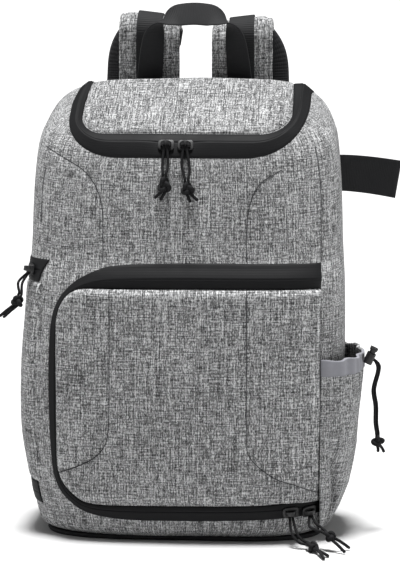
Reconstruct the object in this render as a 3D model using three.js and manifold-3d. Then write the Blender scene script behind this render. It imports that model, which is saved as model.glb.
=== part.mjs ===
// Camera backpack: a soft hollow body with a zipped lid, a zipped lower flap, a side door, a
// gathered side pocket, a webbing grab handle and padded shoulder straps.
// Millimetres, +Z up, +X to the viewer's right, -Y the front and +Y the wearer's side.
// The origin is the middle of the base, on the surface that the bag stands on.

import * as THREE from 'three';
import { mergeVertices } from 'three/addons/utils/BufferGeometryUtils.js';
import Module from 'manifold-3d';

const wasm = await Module();
wasm.setup();

// Body
const BODY_HEIGHT = 430;
const BODY_WIDTH = 300;
const BODY_DEPTH = 160;
const WALL = 5;
const BASE_THICKNESS = 4;
const BASE_MARGIN = 5;
const SEAM_GAP = 0.3;
const FRONT_ROUNDNESS = 3.4;
const REAR_ROUNDNESS = 5;
const BODY_POINTS = 32;
const CORNER_STEPS = 6;
const TRIM_STEPS = 2;

// Flaps stand this far out of the body's cloth, and zip bands this far
const LID_PROUD = 1.2;
const FLAP_PROUD = 6;
const DOOR_PROUD = 2;
const ZIP_PROUD = 0.6;
const FLAP_DEPTH = 4;
const ZIP_DEPTH = 3;

// Corner radii, across and up: first of a flap alone, then of the flap with its zip
const LID_CORNERS = [[24, 20], [58, 42]];
const FLAP_LOWER_CORNERS = [[34, 38], [52, 48]];
const FLAP_UPPER_CORNERS = [[28, 35], [50, 57]];
const DOOR_CORNERS = [[20, 24], [42, 46]];
const SQUARE = [0, 0];

// Lid and its zip, as seen from the front
const LID_ZIP_HALF_WIDTH = 116;
const LID_ZIP_BOTTOM = 363;
const LID_ZIP_WIDTH = 21;
const LID_ZIP_SIDE_WIDTH = 15;
const LID_HINGE_Y = 62;

// Lower flap and its zip, as seen from the front
const FLAP_LEFT = 120;
const FLAP_RIGHT = 128;
const FLAP_TOP = 242;
const FLAP_BOTTOM = 38;
const FRONT_ZIP_TOP_WIDTH = 23;
const FRONT_ZIP_SIDE_WIDTH = 10;
const FRONT_ZIP_BOTTOM_WIDTH = 16;

// Side door and its zip, as seen from the left
const DOOR_FRONT_Y = -54;
const DOOR_REAR_Y = 30;
const DOOR_TOP = 244;
const DOOR_BOTTOM = 52;
const SIDE_ZIP_WIDTH = 22;
const SIDE_ZIP_FRONT_Y = -48;
const SIDE_SLIDER_Y = -36;

// Padded panel on the wearer's side
const BACK_PANEL_THICKNESS = 8;
const BACK_PANEL_HALF_WIDTH = 118;
const BACK_PANEL_BOTTOM = 22;
const BACK_PANEL_TOP = 394;
const BACK_PANEL_CORNER = 30;

// Side pocket
const POCKET_HEIGHT = 168;
const POCKET_BOTTOM = 6;
const POCKET_CENTRE_X = 112;
const POCKET_REACH = 55.5;
const POCKET_DEPTH = 126;
const POCKET_WALL = 2;
const POCKET_FLOOR = 3;
const POCKET_ROUNDNESS = 2.7;
const POCKET_POINTS = 48;
const POCKET_GATHERS = 12;
const GATHER_DEPTH = 1.1;
const HEM_WIDTH = 15;
const HEM_PROUD = 1;

// Webbing and straps
const WEBBING_WIDTH = 25;
const WEBBING_THICKNESS = 2;
const TAB_LENGTH = 55;
const TAB_WIDTH = 35;
const TAB_TOP = 360;
const TAB_DROP = 6;
const TAB_Y = 30;
const TAB_SHARES = [-0.05, 0.3, 0.7, 1];
const TAB_DROOP_POWER = 1.5;
const HANDLE_HALF_WIDTH = 45;
const HANDLE_TOP = 504;
const HANDLE_STEPS = 28;
const STRAP_WIDTH = 60;
const STRAP_THICKNESS = 12;
const STRAP_BEND = 16;
const STRAP_TURNS = 6;
const STRAP_STANDOFF = 0.9;
const STRAP_WEBBING_STANDOFF = 0.6;
const STRAP_WEBBING_ROOT_GAP = 3;
const STRAP_LOWER_STANDOFF = 4;
const STRAP_LOWER_GAP = 1.2;
const STRAP_LOW_WIDTH = 44;
const STRAP_X = 46;
const STRAP_ROOT_Z = 372;
const STRAP_TOP_LEFT = 492;
const STRAP_TOP_RIGHT = 488;
const STRAP_END_Z = 150;
const LADDER_WIDTH = 34;
const LADDER_LENGTH = 26;
const LADDER_THICKNESS = 6;
const LADDER_BAR = 4.5;
const LADDER_CORNER = 3;
const ANCHOR_X = 96;
const ANCHOR_TOP = 53;
const ANCHOR_BOTTOM = 24;
const ANCHOR_THICKNESS = 2;
const ANCHOR_STANDOFF = 0.6;
const ANCHOR_INNER_WIDTH = 22.5;
const ANCHOR_OUTER_WIDTH = 13.5;

// Zip sliders and cords
const SLIDER_WIDTH = 10;
const SLIDER_LENGTH = 15;
const SLIDER_THICKNESS = 2.4;
const SLIDER_NOSE_CORNER = 3;
const SLIDER_TAIL_CORNER = 2;
const SLIDER_CORNER_STEPS = 1;
const SLIDER_ARCH_HEIGHT = 6;
const SLIDER_ARCH_LENGTH = 10.8;
const SLIDER_ARCH_WIDTH = 4;
const SLIDER_ARCH_STEPS = 3;
const SLIDER_HOLE_HEIGHT = 4.2;
const SLIDER_HOLE_LENGTH = 7.2;
const PULL_CORD = 2.6;
const PULL_GAP = 0.4;
const PULL_SIDES_STEPS = 4;
const CORD_STEP = 3 * PULL_CORD;
const KNOT_SIDES = 8;
const KNOT_RINGS = 6;
const KNOT_THICKNESS = 8.5;

// Cord lock, whose button slides down by its stroke when it is pressed
const LOCK_WIDTH = 8.5;
const LOCK_DEPTH = 12;
const LOCK_LENGTH = 10.5;
const LOCK_WALL = 1.2;
const LOCK_FLOOR = 1.2;
const LOCK_TILT = 25;
const LOCK_Y = -9;
const LOCK_Z = 168.5;
const LOCK_STANDOFF = 0.8;
const LOCK_CORNER = 3;
const LOCK_BORE_CORNER = 2;
const BUTTON_CLEARANCE = 0.3;
const BUTTON_CAP = 2.6;
const BUTTON_CAP_INSET = 0.5;
const BUTTON_CAP_CORNER = 2.6;
const BUTTON_SHAFT_CORNER = 1.6;
const BUTTON_STROKE = 3;
const SLOT_WIDTH = 6.4;
const SLOT_HEIGHT = 3.2;

const CLOTH_LIGHT = 0xb9babb;
const CLOTH = 0x9a9b9c;
const CLOTH_DARK = 0x818284;
const HEM_GREY = 0x85868d;
const COATED_BLACK = 0x2b2c2e;
const WEBBING_BLACK = 0x27282a;
const CORD_BLACK = 0x232426;
const PLASTIC_BLACK = 0x1d1e20;
const MESH_BLACK = 0x232425;

const CLOTH_ROUGHNESS = 0.9;
const COATED_ROUGHNESS = 0.6;
const PLASTIC_ROUGHNESS = 0.45;

const X = new THREE.Vector3(1, 0, 0);
const Y = new THREE.Vector3(0, 1, 0);
const Z = new THREE.Vector3(0, 0, 1);

// One row for each section of the body, from the base up.
// front, rear: height of the section at its front and rear, as shares of BODY_HEIGHT
// left, right: half widths, as shares of BODY_WIDTH / 2
// nose, back: how far it reaches forward and back, as shares of BODY_DEPTH / 2
// lift: how much the cloth faces up there, from -1 for down to 1 for up
const BODY_ROWS = [
  { front: 0.0, rear: 0.0, left: 0.87, right: 0.84, nose: 0.8, back: 0.88, lift: -1 },
  { front: 0.012, rear: 0.012, left: 0.94, right: 0.91, nose: 0.87, back: 0.95, lift: -0.6 },
  { front: 0.038, rear: 0.036, left: 0.968, right: 0.945, nose: 0.905, back: 0.985, lift: -0.2 },
  { front: 0.11, rear: 0.11, left: 1.01, right: 0.97, nose: 0.94, back: 1.0, lift: 0 },
  { front: 0.24, rear: 0.24, left: 1.055, right: 0.99, nose: 0.965, back: 1.0, lift: 0 },
  { front: 0.4, rear: 0.41, left: 1.05, right: 1.0, nose: 0.955, back: 1.0, lift: 0 },
  { front: 0.52, rear: 0.54, left: 1.028, right: 0.998, nose: 0.925, back: 1.0, lift: 0 },
  { front: 0.578, rear: 0.61, left: 1.012, right: 0.993, nose: 0.87, back: 1.0, lift: 0.1 },
  { front: 0.622, rear: 0.668, left: 1.003, right: 0.985, nose: 0.78, back: 1.0, lift: 0.1 },
  { front: 0.72, rear: 0.78, left: 0.987, right: 0.975, nose: 0.71, back: 1.0, lift: 0 },
  { front: 0.8, rear: 0.872, left: 0.968, right: 0.958, nose: 0.64, back: 1.0, lift: 0 },
  { front: 0.845, rear: 0.922, left: 0.945, right: 0.935, nose: 0.57, back: 0.99, lift: 0.2 },
  { front: 0.874, rear: 0.958, left: 0.905, right: 0.9, nose: 0.475, back: 0.965, lift: 0.45 },
  { front: 0.9, rear: 0.985, left: 0.835, right: 0.83, nose: 0.33, back: 0.91, lift: 0.8 },
  { front: 0.923, rear: 0.9985, left: 0.69, right: 0.685, nose: 0.1, back: 0.78, lift: 1 },
  { front: 0.948, rear: 1.0, left: 0.4, right: 0.4, nose: -0.19, back: 0.56, lift: 1 },
];

// One row for each section of the side pocket, from its floor to its rim.
// height: share of POCKET_HEIGHT; out: share of POCKET_REACH; deep: share of POCKET_DEPTH / 2
// gather: share of GATHER_DEPTH
const POCKET_ROWS = [
  { height: 0.0, out: 0.4, deep: 0.86, gather: 0 },
  { height: 0.045, out: 0.52, deep: 0.93, gather: 0.2 },
  { height: 0.12, out: 0.64, deep: 0.97, gather: 0.2 },
  { height: 0.26, out: 0.8, deep: 1.0, gather: 0.15 },
  { height: 0.48, out: 0.92, deep: 1.01, gather: 0.15 },
  { height: 0.72, out: 0.985, deep: 1.0, gather: 0.3 },
  { height: 0.89, out: 1.0, deep: 0.985, gather: 0.8 },
  { height: 1.0, out: 0.99, deep: 0.97, gather: 1 },
];

// The grab handle's left half, from its sewn end to the middle of the top. Its outer edge comes
// forward and becomes the lower edge of the top.
// in: how far it has come in from HANDLE_HALF_WIDTH to the middle, as a share of it
// up: height above the back panel, as a share of the way to HANDLE_TOP
// lean: how far it leans forward, as a share of WEBBING_WIDTH; wx, wy, wz: direction of its width
const HANDLE_ROWS = [
  { in: 0.0, up: 0.0, lean: 0, wx: 1, wy: 0, wz: 0 },
  { in: 0.0, up: 0.19, lean: 0, wx: 1, wy: 0, wz: 0 },
  { in: 0.02, up: 0.34, lean: 0.02, wx: 0.95, wy: 0.28, wz: 0 },
  { in: 0.07, up: 0.56, lean: 0.11, wx: 0.87, wy: 0.48, wz: 0 },
  { in: 0.11, up: 0.69, lean: 0.2, wx: 0.76, wy: 0.65, wz: -0.03 },
  { in: 0.165, up: 0.765, lean: 0.26, wx: 0.56, wy: 0.83, wz: -0.04 },
  { in: 0.26, up: 0.815, lean: 0.3, wx: 0.28, wy: 0.95, wz: 0.06 },
  { in: 0.42, up: 0.85, lean: 0.31, wx: 0.08, wy: 0.94, wz: 0.3 },
  { in: 0.62, up: 0.88, lean: 0.27, wx: 0, wy: 0.8, wz: 0.6 },
  { in: 0.82, up: 0.894, lean: 0.23, wx: 0, wy: 0.66, wz: 0.75 },
  { in: 1.0, up: 0.9, lean: 0.21, wx: 0, wy: 0.6, wz: 0.8 },
];

// The shoulder strap behind the bend, from the bend down to its adjuster.
// down: share of the way from the bend to STRAP_END_Z; out: shift outwards; back: distance of its
// centre behind the back panel; width: share of the way from STRAP_WIDTH to STRAP_LOW_WIDTH
const STRAP_ROWS = [
  { down: 0.06, out: 13, back: 38, width: 0 },
  { down: 0.16, out: 16, back: 36, width: 0 },
  { down: 0.34, out: 22, back: 31, width: 0.15 },
  { down: 0.57, out: 32, back: 24, width: 0.5 },
  { down: 0.8, out: 41, back: 18, width: 0.9 },
  { down: 1.0, out: 46, back: 14, width: 1 },
];

// Zip sliders. from, towards: a line that meets the zip where the slider sits; zip: its direction
const lidZipZ = LID_ZIP_BOTTOM + LID_ZIP_WIDTH / 2;
const sideZipZ = DOOR_TOP + SIDE_ZIP_WIDTH / 2;
const frontZipZ = FLAP_BOTTOM - FRONT_ZIP_BOTTOM_WIDTH / 2;
const SLIDERS = [
  { name: 'lid_slider_left', from: [-17.7, -BODY_WIDTH, lidZipZ], towards: [0, 1, 0], zip: [1, 0, 0] },
  { name: 'lid_slider_right', from: [0.5, -BODY_WIDTH, lidZipZ], towards: [0, 1, 0], zip: [1, 0, 0] },
  { name: 'side_slider', from: [-BODY_WIDTH, SIDE_SLIDER_Y, sideZipZ], towards: [1, 0, 0], zip: [0, 1, 0] },
  { name: 'front_slider_a', from: [101.5, -BODY_WIDTH, frontZipZ], towards: [0, 1, 0], zip: [1, 0, 0.05] },
  { name: 'front_slider_b', from: [118, -BODY_WIDTH, frontZipZ], towards: [0, 1, 0], zip: [1, 0, 0.05] },
];

// Pull cords: two strands pass under the slider's arch and meet in a knot with two tails.
// way: 1 or -1, the side of the slider that the strands leave; face: where the loop's flat side faces
// bends: places that the middle of the strands passes, and how far apart they are there
// knot: the knot's middle; along, long, wide: its direction and size; tails: the tails' ends
const PULLS = [
  {
    name: 'lid_pull_left', slider: 'lid_slider_left', way: -1, face: [0, -1, 0],
    bends: [{ x: -17.6, y: -51.4, z: 357, apart: 5.4 }],
    knot: [-18, -57.2, 338], along: [0, -0.12, -1], long: 16.5, wide: 13,
    tails: [[-27.2, -57.4, 326.2], [-21.5, -57.6, 324.3]],
  },
  {
    name: 'lid_pull_right', slider: 'lid_slider_right', way: -1, face: [0, -1, 0],
    bends: [{ x: 1.2, y: -51.2, z: 358, apart: 7 }, { x: 2.6, y: -54.2, z: 349, apart: 5.6 }],
    knot: [3.8, -57.6, 334.8], along: [0.12, -0.1, -1], long: 13, wide: 13,
    tails: [[6.5, -58.2, 322.5], [13.5, -58, 324]],
  },
  {
    name: 'side_pull', slider: 'side_slider', way: 1, face: [-0.5, -1, 0],
    bends: [{ x: -156.5, y: -43.5, z: 243, apart: 4.6 }],
    knot: [-158.8, -47.5, 225.6], along: [-0.35, 0, -1], long: 11.5, wide: 13,
    tails: [[-176, -48, 211], [-172.5, -48, 210]],
  },
  {
    name: 'front_pull_a', slider: 'front_slider_a', way: -1, face: [0, -0.6, 0.8],
    bends: [{ x: 106, y: -83.5, z: 14, apart: 4.6 }, { x: 112, y: -88, z: 7.6, apart: 4 }],
    knot: [123.2, -98.4, 5.2], along: [0.5, -0.86, -0.04], long: 16, wide: 10,
    tails: [[139, -119, 1.8], [135, -129, 1.8]],
  },
  {
    name: 'front_pull_b', slider: 'front_slider_b', way: -1, face: [0, -0.7, 0.7],
    bends: [{ x: 123.5, y: -83.5, z: 22, apart: 7 }, { x: 129, y: -86.5, z: 19.6, apart: 5.4 }],
    knot: [139.4, -93.4, 14.2], along: [0.75, -0.5, -0.45], long: 14, wide: 10,
    tails: [[154, -105, 1.8], [158, -89, 2]],
  },
];

// The pocket's drawcord, which comes out of the cord lock
const POCKET_PULL = {
  name: 'pocket_cord', way: 1, face: [1, -1, 0],
  bends: [
    { x: 183.2, y: -9.2, z: 161, apart: 3 },
    { x: 182.7, y: -9.4, z: 154, apart: 3 },
    { x: 179, y: -10, z: 138, apart: 3 },
    { x: 181.1, y: -10, z: 122, apart: 3 },
    { x: 181.3, y: -10, z: 106, apart: 3.2 },
  ],
  knot: [183.4, -10.4, 88], along: [0.08, 0, -1], long: 12, wide: 13,
  tails: [[183.6, -11, 77.5], [189.5, -11, 77]],
};

// Turns a closed geometry into a solid that can be cut and joined.
function solidOf(geometry) {
  const bare = geometry.clone();
  for (const name of Object.keys(bare.attributes)) {
    if (name !== 'position') bare.deleteAttribute(name);
  }
  const merged = mergeVertices(bare, 1e-4);
  const mesh = new wasm.Mesh({
    numProp: 3,
    vertProperties: new Float32Array(merged.attributes.position.array),
    triVerts: new Uint32Array(merged.index.array),
  });
  return new wasm.Manifold(mesh);
}

// Turns a solid back into a geometry.
function geometryOf(solid) {
  const mesh = solid.getMesh();
  const geometry = new THREE.BufferGeometry();
  geometry.setAttribute('position', new THREE.BufferAttribute(new Float32Array(mesh.vertProperties), 3));
  geometry.setIndex(new THREE.BufferAttribute(new Uint32Array(mesh.triVerts), 1));
  geometry.computeVertexNormals();
  return geometry;
}

// The volume that a triangle and the origin enclose, summed over the geometry.
function signedVolume(geometry) {
  const place = geometry.attributes.position;
  const order = geometry.index.array;
  const corner = [new THREE.Vector3(), new THREE.Vector3(), new THREE.Vector3()];
  let volume = 0;
  for (let first = 0; first < order.length; first += 3) {
    corner.forEach((point, k) => point.fromBufferAttribute(place, order[first + k]));
    volume += corner[0].dot(corner[1].clone().cross(corner[2])) / 6;
  }
  return volume;
}

// A closed skin through rings of equal numbers of points, with a fan over each end.
function loft(rings) {
  const count = rings[0].length;
  const points = rings.flat();
  const order = [];
  for (let ring = 0; ring + 1 < rings.length; ring += 1) {
    for (let k = 0; k < count; k += 1) {
      const here = ring * count + k;
      const beside = ring * count + ((k + 1) % count);
      order.push(here, beside, beside + count, here, beside + count, here + count);
    }
  }
  for (const [ring, flip] of [[0, true], [rings.length - 1, false]]) {
    const middle = new THREE.Vector3();
    rings[ring].forEach((point) => middle.addScaledVector(point, 1 / count));
    points.push(middle);
    for (let k = 0; k < count; k += 1) {
      const here = ring * count + k;
      const beside = ring * count + ((k + 1) % count);
      order.push(points.length - 1, flip ? beside : here, flip ? here : beside);
    }
  }
  const geometry = new THREE.BufferGeometry().setFromPoints(points);
  geometry.setIndex(order);
  if (signedVolume(geometry) < 0) {
    geometry.setIndex(order.reverse());
  }
  return geometry;
}

function signedPower(value, power) {
  return Math.sign(value) * Math.abs(value) ** power;
}

// One section of the body, moved outwards by grow.
function bodyRing(row, grow) {
  const side = Math.sqrt(1 - row.lift ** 2);
  const nose = (-row.nose * BODY_DEPTH) / 2 - grow * side;
  const back = (row.back * BODY_DEPTH) / 2 + grow * side;
  const bottom = BASE_THICKNESS + SEAM_GAP;
  const ring = [];
  for (let k = 0; k < BODY_POINTS; k += 1) {
    const angle = (2 * Math.PI * k) / BODY_POINTS;
    const roundness = Math.sin(angle) < 0 ? FRONT_ROUNDNESS : REAR_ROUNDNESS;
    const across = signedPower(Math.cos(angle), 2 / roundness);
    const depth = (1 + signedPower(Math.sin(angle), 2 / roundness)) / 2;
    const half = ((across < 0 ? row.left : row.right) * BODY_WIDTH) / 2 + grow * side;
    const height = row.front + (row.rear - row.front) * depth;
    ring.push(new THREE.Vector3(
      across * half,
      nose + (back - nose) * depth,
      bottom + height * (BODY_HEIGHT - bottom) + grow * row.lift,
    ));
  }
  return ring;
}

function bodySolid(grow) {
  return solidOf(loft(BODY_ROWS.map((row) => bodyRing(row, grow))));
}

// The cloth between two distances from the body's surface.
function layer(outside, inside) {
  return bodySolid(outside).subtract(bodySolid(-inside));
}

// An outline extruded between two distances along the direction across it.
function prism(shape, right, up, from, to, segments = CORNER_STEPS) {
  const forward = right.clone().cross(up);
  const geometry = new THREE.ExtrudeGeometry(shape, {
    depth: to - from,
    bevelEnabled: false,
    curveSegments: segments,
  });
  geometry.translate(0, 0, from);
  geometry.applyMatrix4(new THREE.Matrix4().makeBasis(right, up, forward));
  return geometry;
}

// A rectangle whose corners are quarter ellipses, in the order of the sides' meeting points:
// lower left, lower right, upper right, upper left.
function roundedPanel(left, right, bottom, top, corners) {
  const shape = new THREE.Shape();
  shape.moveTo(left, (bottom + top) / 2);
  const places = [
    [left, bottom, 1, 1, Math.PI],
    [right, bottom, -1, 1, 1.5 * Math.PI],
    [right, top, -1, -1, 0],
    [left, top, 1, -1, 0.5 * Math.PI],
  ];
  places.forEach(([x, y, inX, inY, start], k) => {
    const [wide, tall] = corners[k];
    if (wide > 0 && tall > 0) {
      const end = start + 0.5 * Math.PI;
      shape.absellipse(x + inX * wide, y + inY * tall, wide, tall, start, end, false, 0);
    } else {
      shape.lineTo(x, y);
    }
  });
  shape.closePath();
  return shape;
}

const FAR = BODY_WIDTH;

// The area inside the lid's zip, or if spread is 1 that of the lid and its zip together.
function lidPrism(spread, slack) {
  const half = LID_ZIP_HALF_WIDTH - LID_ZIP_SIDE_WIDTH * (1 - spread) + slack;
  const bottom = LID_ZIP_BOTTOM + LID_ZIP_WIDTH * (1 - spread) - slack;
  const corner = LID_CORNERS[spread];
  const shape = roundedPanel(-half, half, bottom, 2 * BODY_HEIGHT, [corner, corner, SQUARE, SQUARE]);
  return solidOf(prism(shape, X, Z, -LID_HINGE_Y - slack, FAR));
}

// The area inside the lower flap's zip, or if spread is 1 that of the flap and its zip together.
function flapPrism(spread, slack, openRight = 0) {
  const left = -FLAP_LEFT - FRONT_ZIP_SIDE_WIDTH * spread - slack;
  const right = FLAP_RIGHT + slack + openRight;
  const bottom = FLAP_BOTTOM - FRONT_ZIP_BOTTOM_WIDTH * spread - slack;
  const top = FLAP_TOP + FRONT_ZIP_TOP_WIDTH * spread + slack;
  const corners = [FLAP_LOWER_CORNERS[spread], SQUARE, SQUARE, FLAP_UPPER_CORNERS[spread]];
  return solidOf(prism(roundedPanel(left, right, bottom, top, corners), X, Z, 0, FAR));
}

// The area inside the side door's zip, or if spread is 1 that of the door and its zip together.
function doorPrism(spread, slack, front = DOOR_FRONT_Y) {
  const rear = DOOR_REAR_Y + SIDE_ZIP_WIDTH * spread + slack;
  const bottom = DOOR_BOTTOM - SIDE_ZIP_WIDTH * spread - slack;
  const top = DOOR_TOP + SIDE_ZIP_WIDTH * spread + slack;
  const corner = DOOR_CORNERS[spread];
  const shape = roundedPanel(front - slack, rear, bottom, top, [SQUARE, corner, corner, SQUARE]);
  return solidOf(prism(shape, Y, Z, -FAR, 0));
}

// Body cloth with its three openings, and what fills them
const lidOpening = lidPrism(1, 0);
const flapOpening = flapPrism(1, 0);
const doorOpening = doorPrism(0, 0).add(doorPrism(1, 0, SIDE_ZIP_FRONT_Y));

const mainShell = layer(0, WALL).subtract(lidOpening).subtract(flapOpening).subtract(doorOpening);
const lid = layer(LID_PROUD, WALL).intersect(lidPrism(0, -SEAM_GAP));
const lidZip = layer(ZIP_PROUD, ZIP_DEPTH).intersect(lidPrism(1, -SEAM_GAP)).subtract(lidPrism(0, 0));
const frontPanel = layer(FLAP_PROUD, FLAP_DEPTH).intersect(flapPrism(0, -SEAM_GAP));
const frontZip = layer(ZIP_PROUD, ZIP_DEPTH)
  .intersect(flapPrism(1, -SEAM_GAP))
  .subtract(flapPrism(0, 0, BODY_WIDTH));
const sideDoor = layer(DOOR_PROUD, FLAP_DEPTH).intersect(doorPrism(0, -SEAM_GAP));
const sideZip = layer(ZIP_PROUD, ZIP_DEPTH)
  .intersect(doorPrism(1, -SEAM_GAP, SIDE_ZIP_FRONT_Y))
  .subtract(doorPrism(0, 0, -BODY_DEPTH));

// Finds where a straight line meets the body's cloth from outside.
const bodySkin = new THREE.Mesh(geometryOf(bodySolid(ZIP_PROUD)), new THREE.MeshBasicMaterial());
function onBody(from, direction) {
  const ray = new THREE.Raycaster(from, direction.clone().normalize());
  const hit = ray.intersectObject(bodySkin)[0];
  return { point: hit.point, normal: hit.face.normal.clone() };
}

// The dark cloth under the bag
function basePanel() {
  const shrink = (points, z) => points.map((point) => {
    const inwards = new THREE.Vector3(point.x, point.y, 0).normalize();
    return new THREE.Vector3(point.x, point.y, z).addScaledVector(inwards, -BASE_MARGIN);
  });
  const outline = bodyRing(BODY_ROWS[1], 0);
  return loft([shrink(outline, 0), shrink(outline, BASE_THICKNESS)]);
}

function backPanel() {
  const corner = [BACK_PANEL_CORNER, BACK_PANEL_CORNER];
  const half = BACK_PANEL_HALF_WIDTH;
  const corners = [corner, corner, corner, corner];
  const outline = roundedPanel(-half, half, BACK_PANEL_BOTTOM, BACK_PANEL_TOP, corners);
  const front = BODY_DEPTH / 2 + SEAM_GAP;
  return prism(outline, X, Z, -front - BACK_PANEL_THICKNESS, -front);
}

// A section of the pocket: its front and rear ends lie inside the body and are cut away.
function pocketRing(row, grow, z) {
  const reach = row.out * POCKET_REACH + grow;
  const deep = (row.deep * POCKET_DEPTH) / 2 + grow;
  const ring = [];
  for (let k = 0; k < POCKET_POINTS; k += 1) {
    const angle = (2 * Math.PI * k) / POCKET_POINTS;
    const ripple = Math.cos(POCKET_GATHERS * angle) * GATHER_DEPTH * row.gather;
    const across = signedPower(Math.cos(angle), 2 / POCKET_ROUNDNESS);
    const along = signedPower(Math.sin(angle), 2 / POCKET_ROUNDNESS);
    ring.push(new THREE.Vector3(POCKET_CENTRE_X + across * (reach + ripple), along * (deep + ripple), z));
  }
  return ring;
}

// The pocket's solid between two shares of its height.
function pocketSolid(low, high, grow, extra = 0) {
  const at = (height) => {
    const above = Math.max(1, POCKET_ROWS.findIndex((row) => row.height >= height));
    const [a, b] = [POCKET_ROWS[above - 1], POCKET_ROWS[above]];
    const share = (height - a.height) / (b.height - a.height);
    const mix = (key) => a[key] + (b[key] - a[key]) * share;
    return { height, out: mix('out'), deep: mix('deep'), gather: mix('gather') };
  };
  const inner = POCKET_ROWS.filter((row) => row.height > low && row.height < high);
  const rows = [at(low), ...inner, at(high)];
  const rings = rows.map((row) => pocketRing(row, grow, POCKET_BOTTOM + row.height * POCKET_HEIGHT));
  rings[rings.length - 1].forEach((point) => point.setZ(point.z + extra));
  return solidOf(loft(rings));
}

const hemStart = 1 - HEM_WIDTH / POCKET_HEIGHT;
const hemGap = SEAM_GAP / POCKET_HEIGHT;
const pocketFloor = POCKET_FLOOR / POCKET_HEIGHT;
const inFrontOfSeam = solidOf(prism(
  roundedPanel(-FAR, FLAP_RIGHT + SEAM_GAP, 0, BODY_HEIGHT, [SQUARE, SQUARE, SQUARE, SQUARE]),
  X, Z, 0, FAR,
));
const besidePocket = bodySolid(SEAM_GAP).add(inFrontOfSeam);
const sidePocket = pocketSolid(0, hemStart - hemGap, 0)
  .subtract(pocketSolid(pocketFloor, 1, -POCKET_WALL, POCKET_WALL))
  .subtract(besidePocket);
const pocketHem = pocketSolid(hemStart, 1, HEM_PROUD)
  .subtract(pocketSolid(pocketFloor, 1, -POCKET_WALL, POCKET_WALL))
  .subtract(besidePocket);

// A flat section, with bevelled edges if it is a pad, as points across and through it.
function flatSection(width, thickness, bevel) {
  const [w, t] = [width / 2, thickness / 2];
  if (bevel === 0) {
    return [[-w, -t], [w, -t], [w, t], [-w, t]];
  }
  return [
    [-w, -t + bevel], [-w + bevel, -t], [w - bevel, -t], [w, -t + bevel],
    [w, t - bevel], [w - bevel, t], [-w + bevel, t], [-w, t - bevel],
  ];
}

// A strap or tape: a flat section carried along rows of a centre and the direction of its width.
function sweepFlat(rows, thickness, bevel, outwards = 0) {
  return loft(rows.map((row, k) => {
    const before = rows[Math.max(k - 1, 0)].centre;
    const after = rows[Math.min(k + 1, rows.length - 1)].centre;
    const along = after.clone().sub(before).normalize();
    const across = row.across.clone().addScaledVector(along, -row.across.dot(along)).normalize();
    const normal = new THREE.Vector3().crossVectors(across, along);
    return flatSection(row.width, thickness, bevel).map(([u, v]) => (
      row.centre.clone().addScaledVector(across, u).addScaledVector(normal, v + outwards)
    ));
  }));
}

// The handle's rows and their mirror images, joined by smooth curves.
function carryHandle() {
  const bottom = BACK_PANEL_TOP + SEAM_GAP;
  const rear = BODY_DEPTH / 2 + SEAM_GAP + WEBBING_THICKNESS / 2;
  const centres = [];
  const widths = [];
  for (const row of HANDLE_ROWS) {
    const z = bottom + row.up * (HANDLE_TOP - bottom);
    centres.push(new THREE.Vector3(-HANDLE_HALF_WIDTH * (1 - row.in), rear - row.lean * WEBBING_WIDTH, z));
    widths.push(new THREE.Vector3(row.wx, row.wy, row.wz));
  }
  for (let k = HANDLE_ROWS.length - 2; k >= 0; k -= 1) {
    centres.push(new THREE.Vector3(-centres[k].x, centres[k].y, centres[k].z));
    widths.push(new THREE.Vector3(-widths[k].x, widths[k].y, widths[k].z));
  }
  const [centreLine, widthLine] = [centres, widths].map((list) => new THREE.CatmullRomCurve3(list));
  const rows = [];
  for (let k = 0; k <= HANDLE_STEPS; k += 1) {
    const share = k / HANDLE_STEPS;
    rows.push({
      centre: centreLine.getPoint(share),
      across: widthLine.getPoint(share),
      width: WEBBING_WIDTH,
    });
  }
  return sweepFlat(rows, WEBBING_THICKNESS, 0);
}

// A piece of the right shoulder strap, or its mirror image on the left.
function onSide(geometry, side) {
  if (side > 0) {
    return geometry;
  }
  const mirrored = mergeVertices(geometry).scale(-1, 1, 1);
  mirrored.setIndex([...mirrored.index.array].reverse());
  return mirrored;
}

// The middle line of a shoulder strap: up from the back panel, over the bend and down again.
function strapRows(top) {
  const wall = BODY_DEPTH / 2 + BACK_PANEL_THICKNESS + STRAP_STANDOFF;
  const rise = wall + STRAP_THICKNESS / 2;
  const bendZ = top - STRAP_THICKNESS / 2 - STRAP_BEND;
  const rising = [STRAP_ROOT_Z, (STRAP_ROOT_Z + bendZ) / 2];
  const rows = rising.map((z) => ({ x: STRAP_X, y: rise, z, width: 0 }));
  for (let k = 0; k <= STRAP_TURNS; k += 1) {
    const angle = Math.PI * (1 - k / STRAP_TURNS);
    rows.push({
      x: STRAP_X,
      y: rise + STRAP_BEND * (1 + Math.cos(angle)),
      z: bendZ + STRAP_BEND * Math.sin(angle),
      width: 0,
    });
  }
  for (const row of STRAP_ROWS) {
    rows.push({
      x: STRAP_X + row.out,
      y: wall + row.back,
      z: bendZ + (STRAP_END_Z - bendZ) * row.down,
      width: row.width,
    });
  }
  return rows.map((row) => ({
    centre: new THREE.Vector3(row.x, row.y, row.z),
    across: X.clone(),
    width: STRAP_WIDTH + (STRAP_LOW_WIDTH - STRAP_WIDTH) * row.width,
  }));
}

function strapPad(top) {
  return sweepFlat(strapRows(top), STRAP_THICKNESS, STRAP_THICKNESS / 3);
}

// The webbing sewn on the outer face of the pad.
function strapWebbing(top) {
  const rows = strapRows(top).map((row) => ({ ...row, width: WEBBING_WIDTH }));
  rows[0].centre.setZ(BACK_PANEL_TOP + STRAP_WEBBING_ROOT_GAP);
  const outwards = (STRAP_THICKNESS + WEBBING_THICKNESS) / 2 + STRAP_WEBBING_STANDOFF;
  return sweepFlat(rows, WEBBING_THICKNESS, 0, outwards);
}

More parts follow.
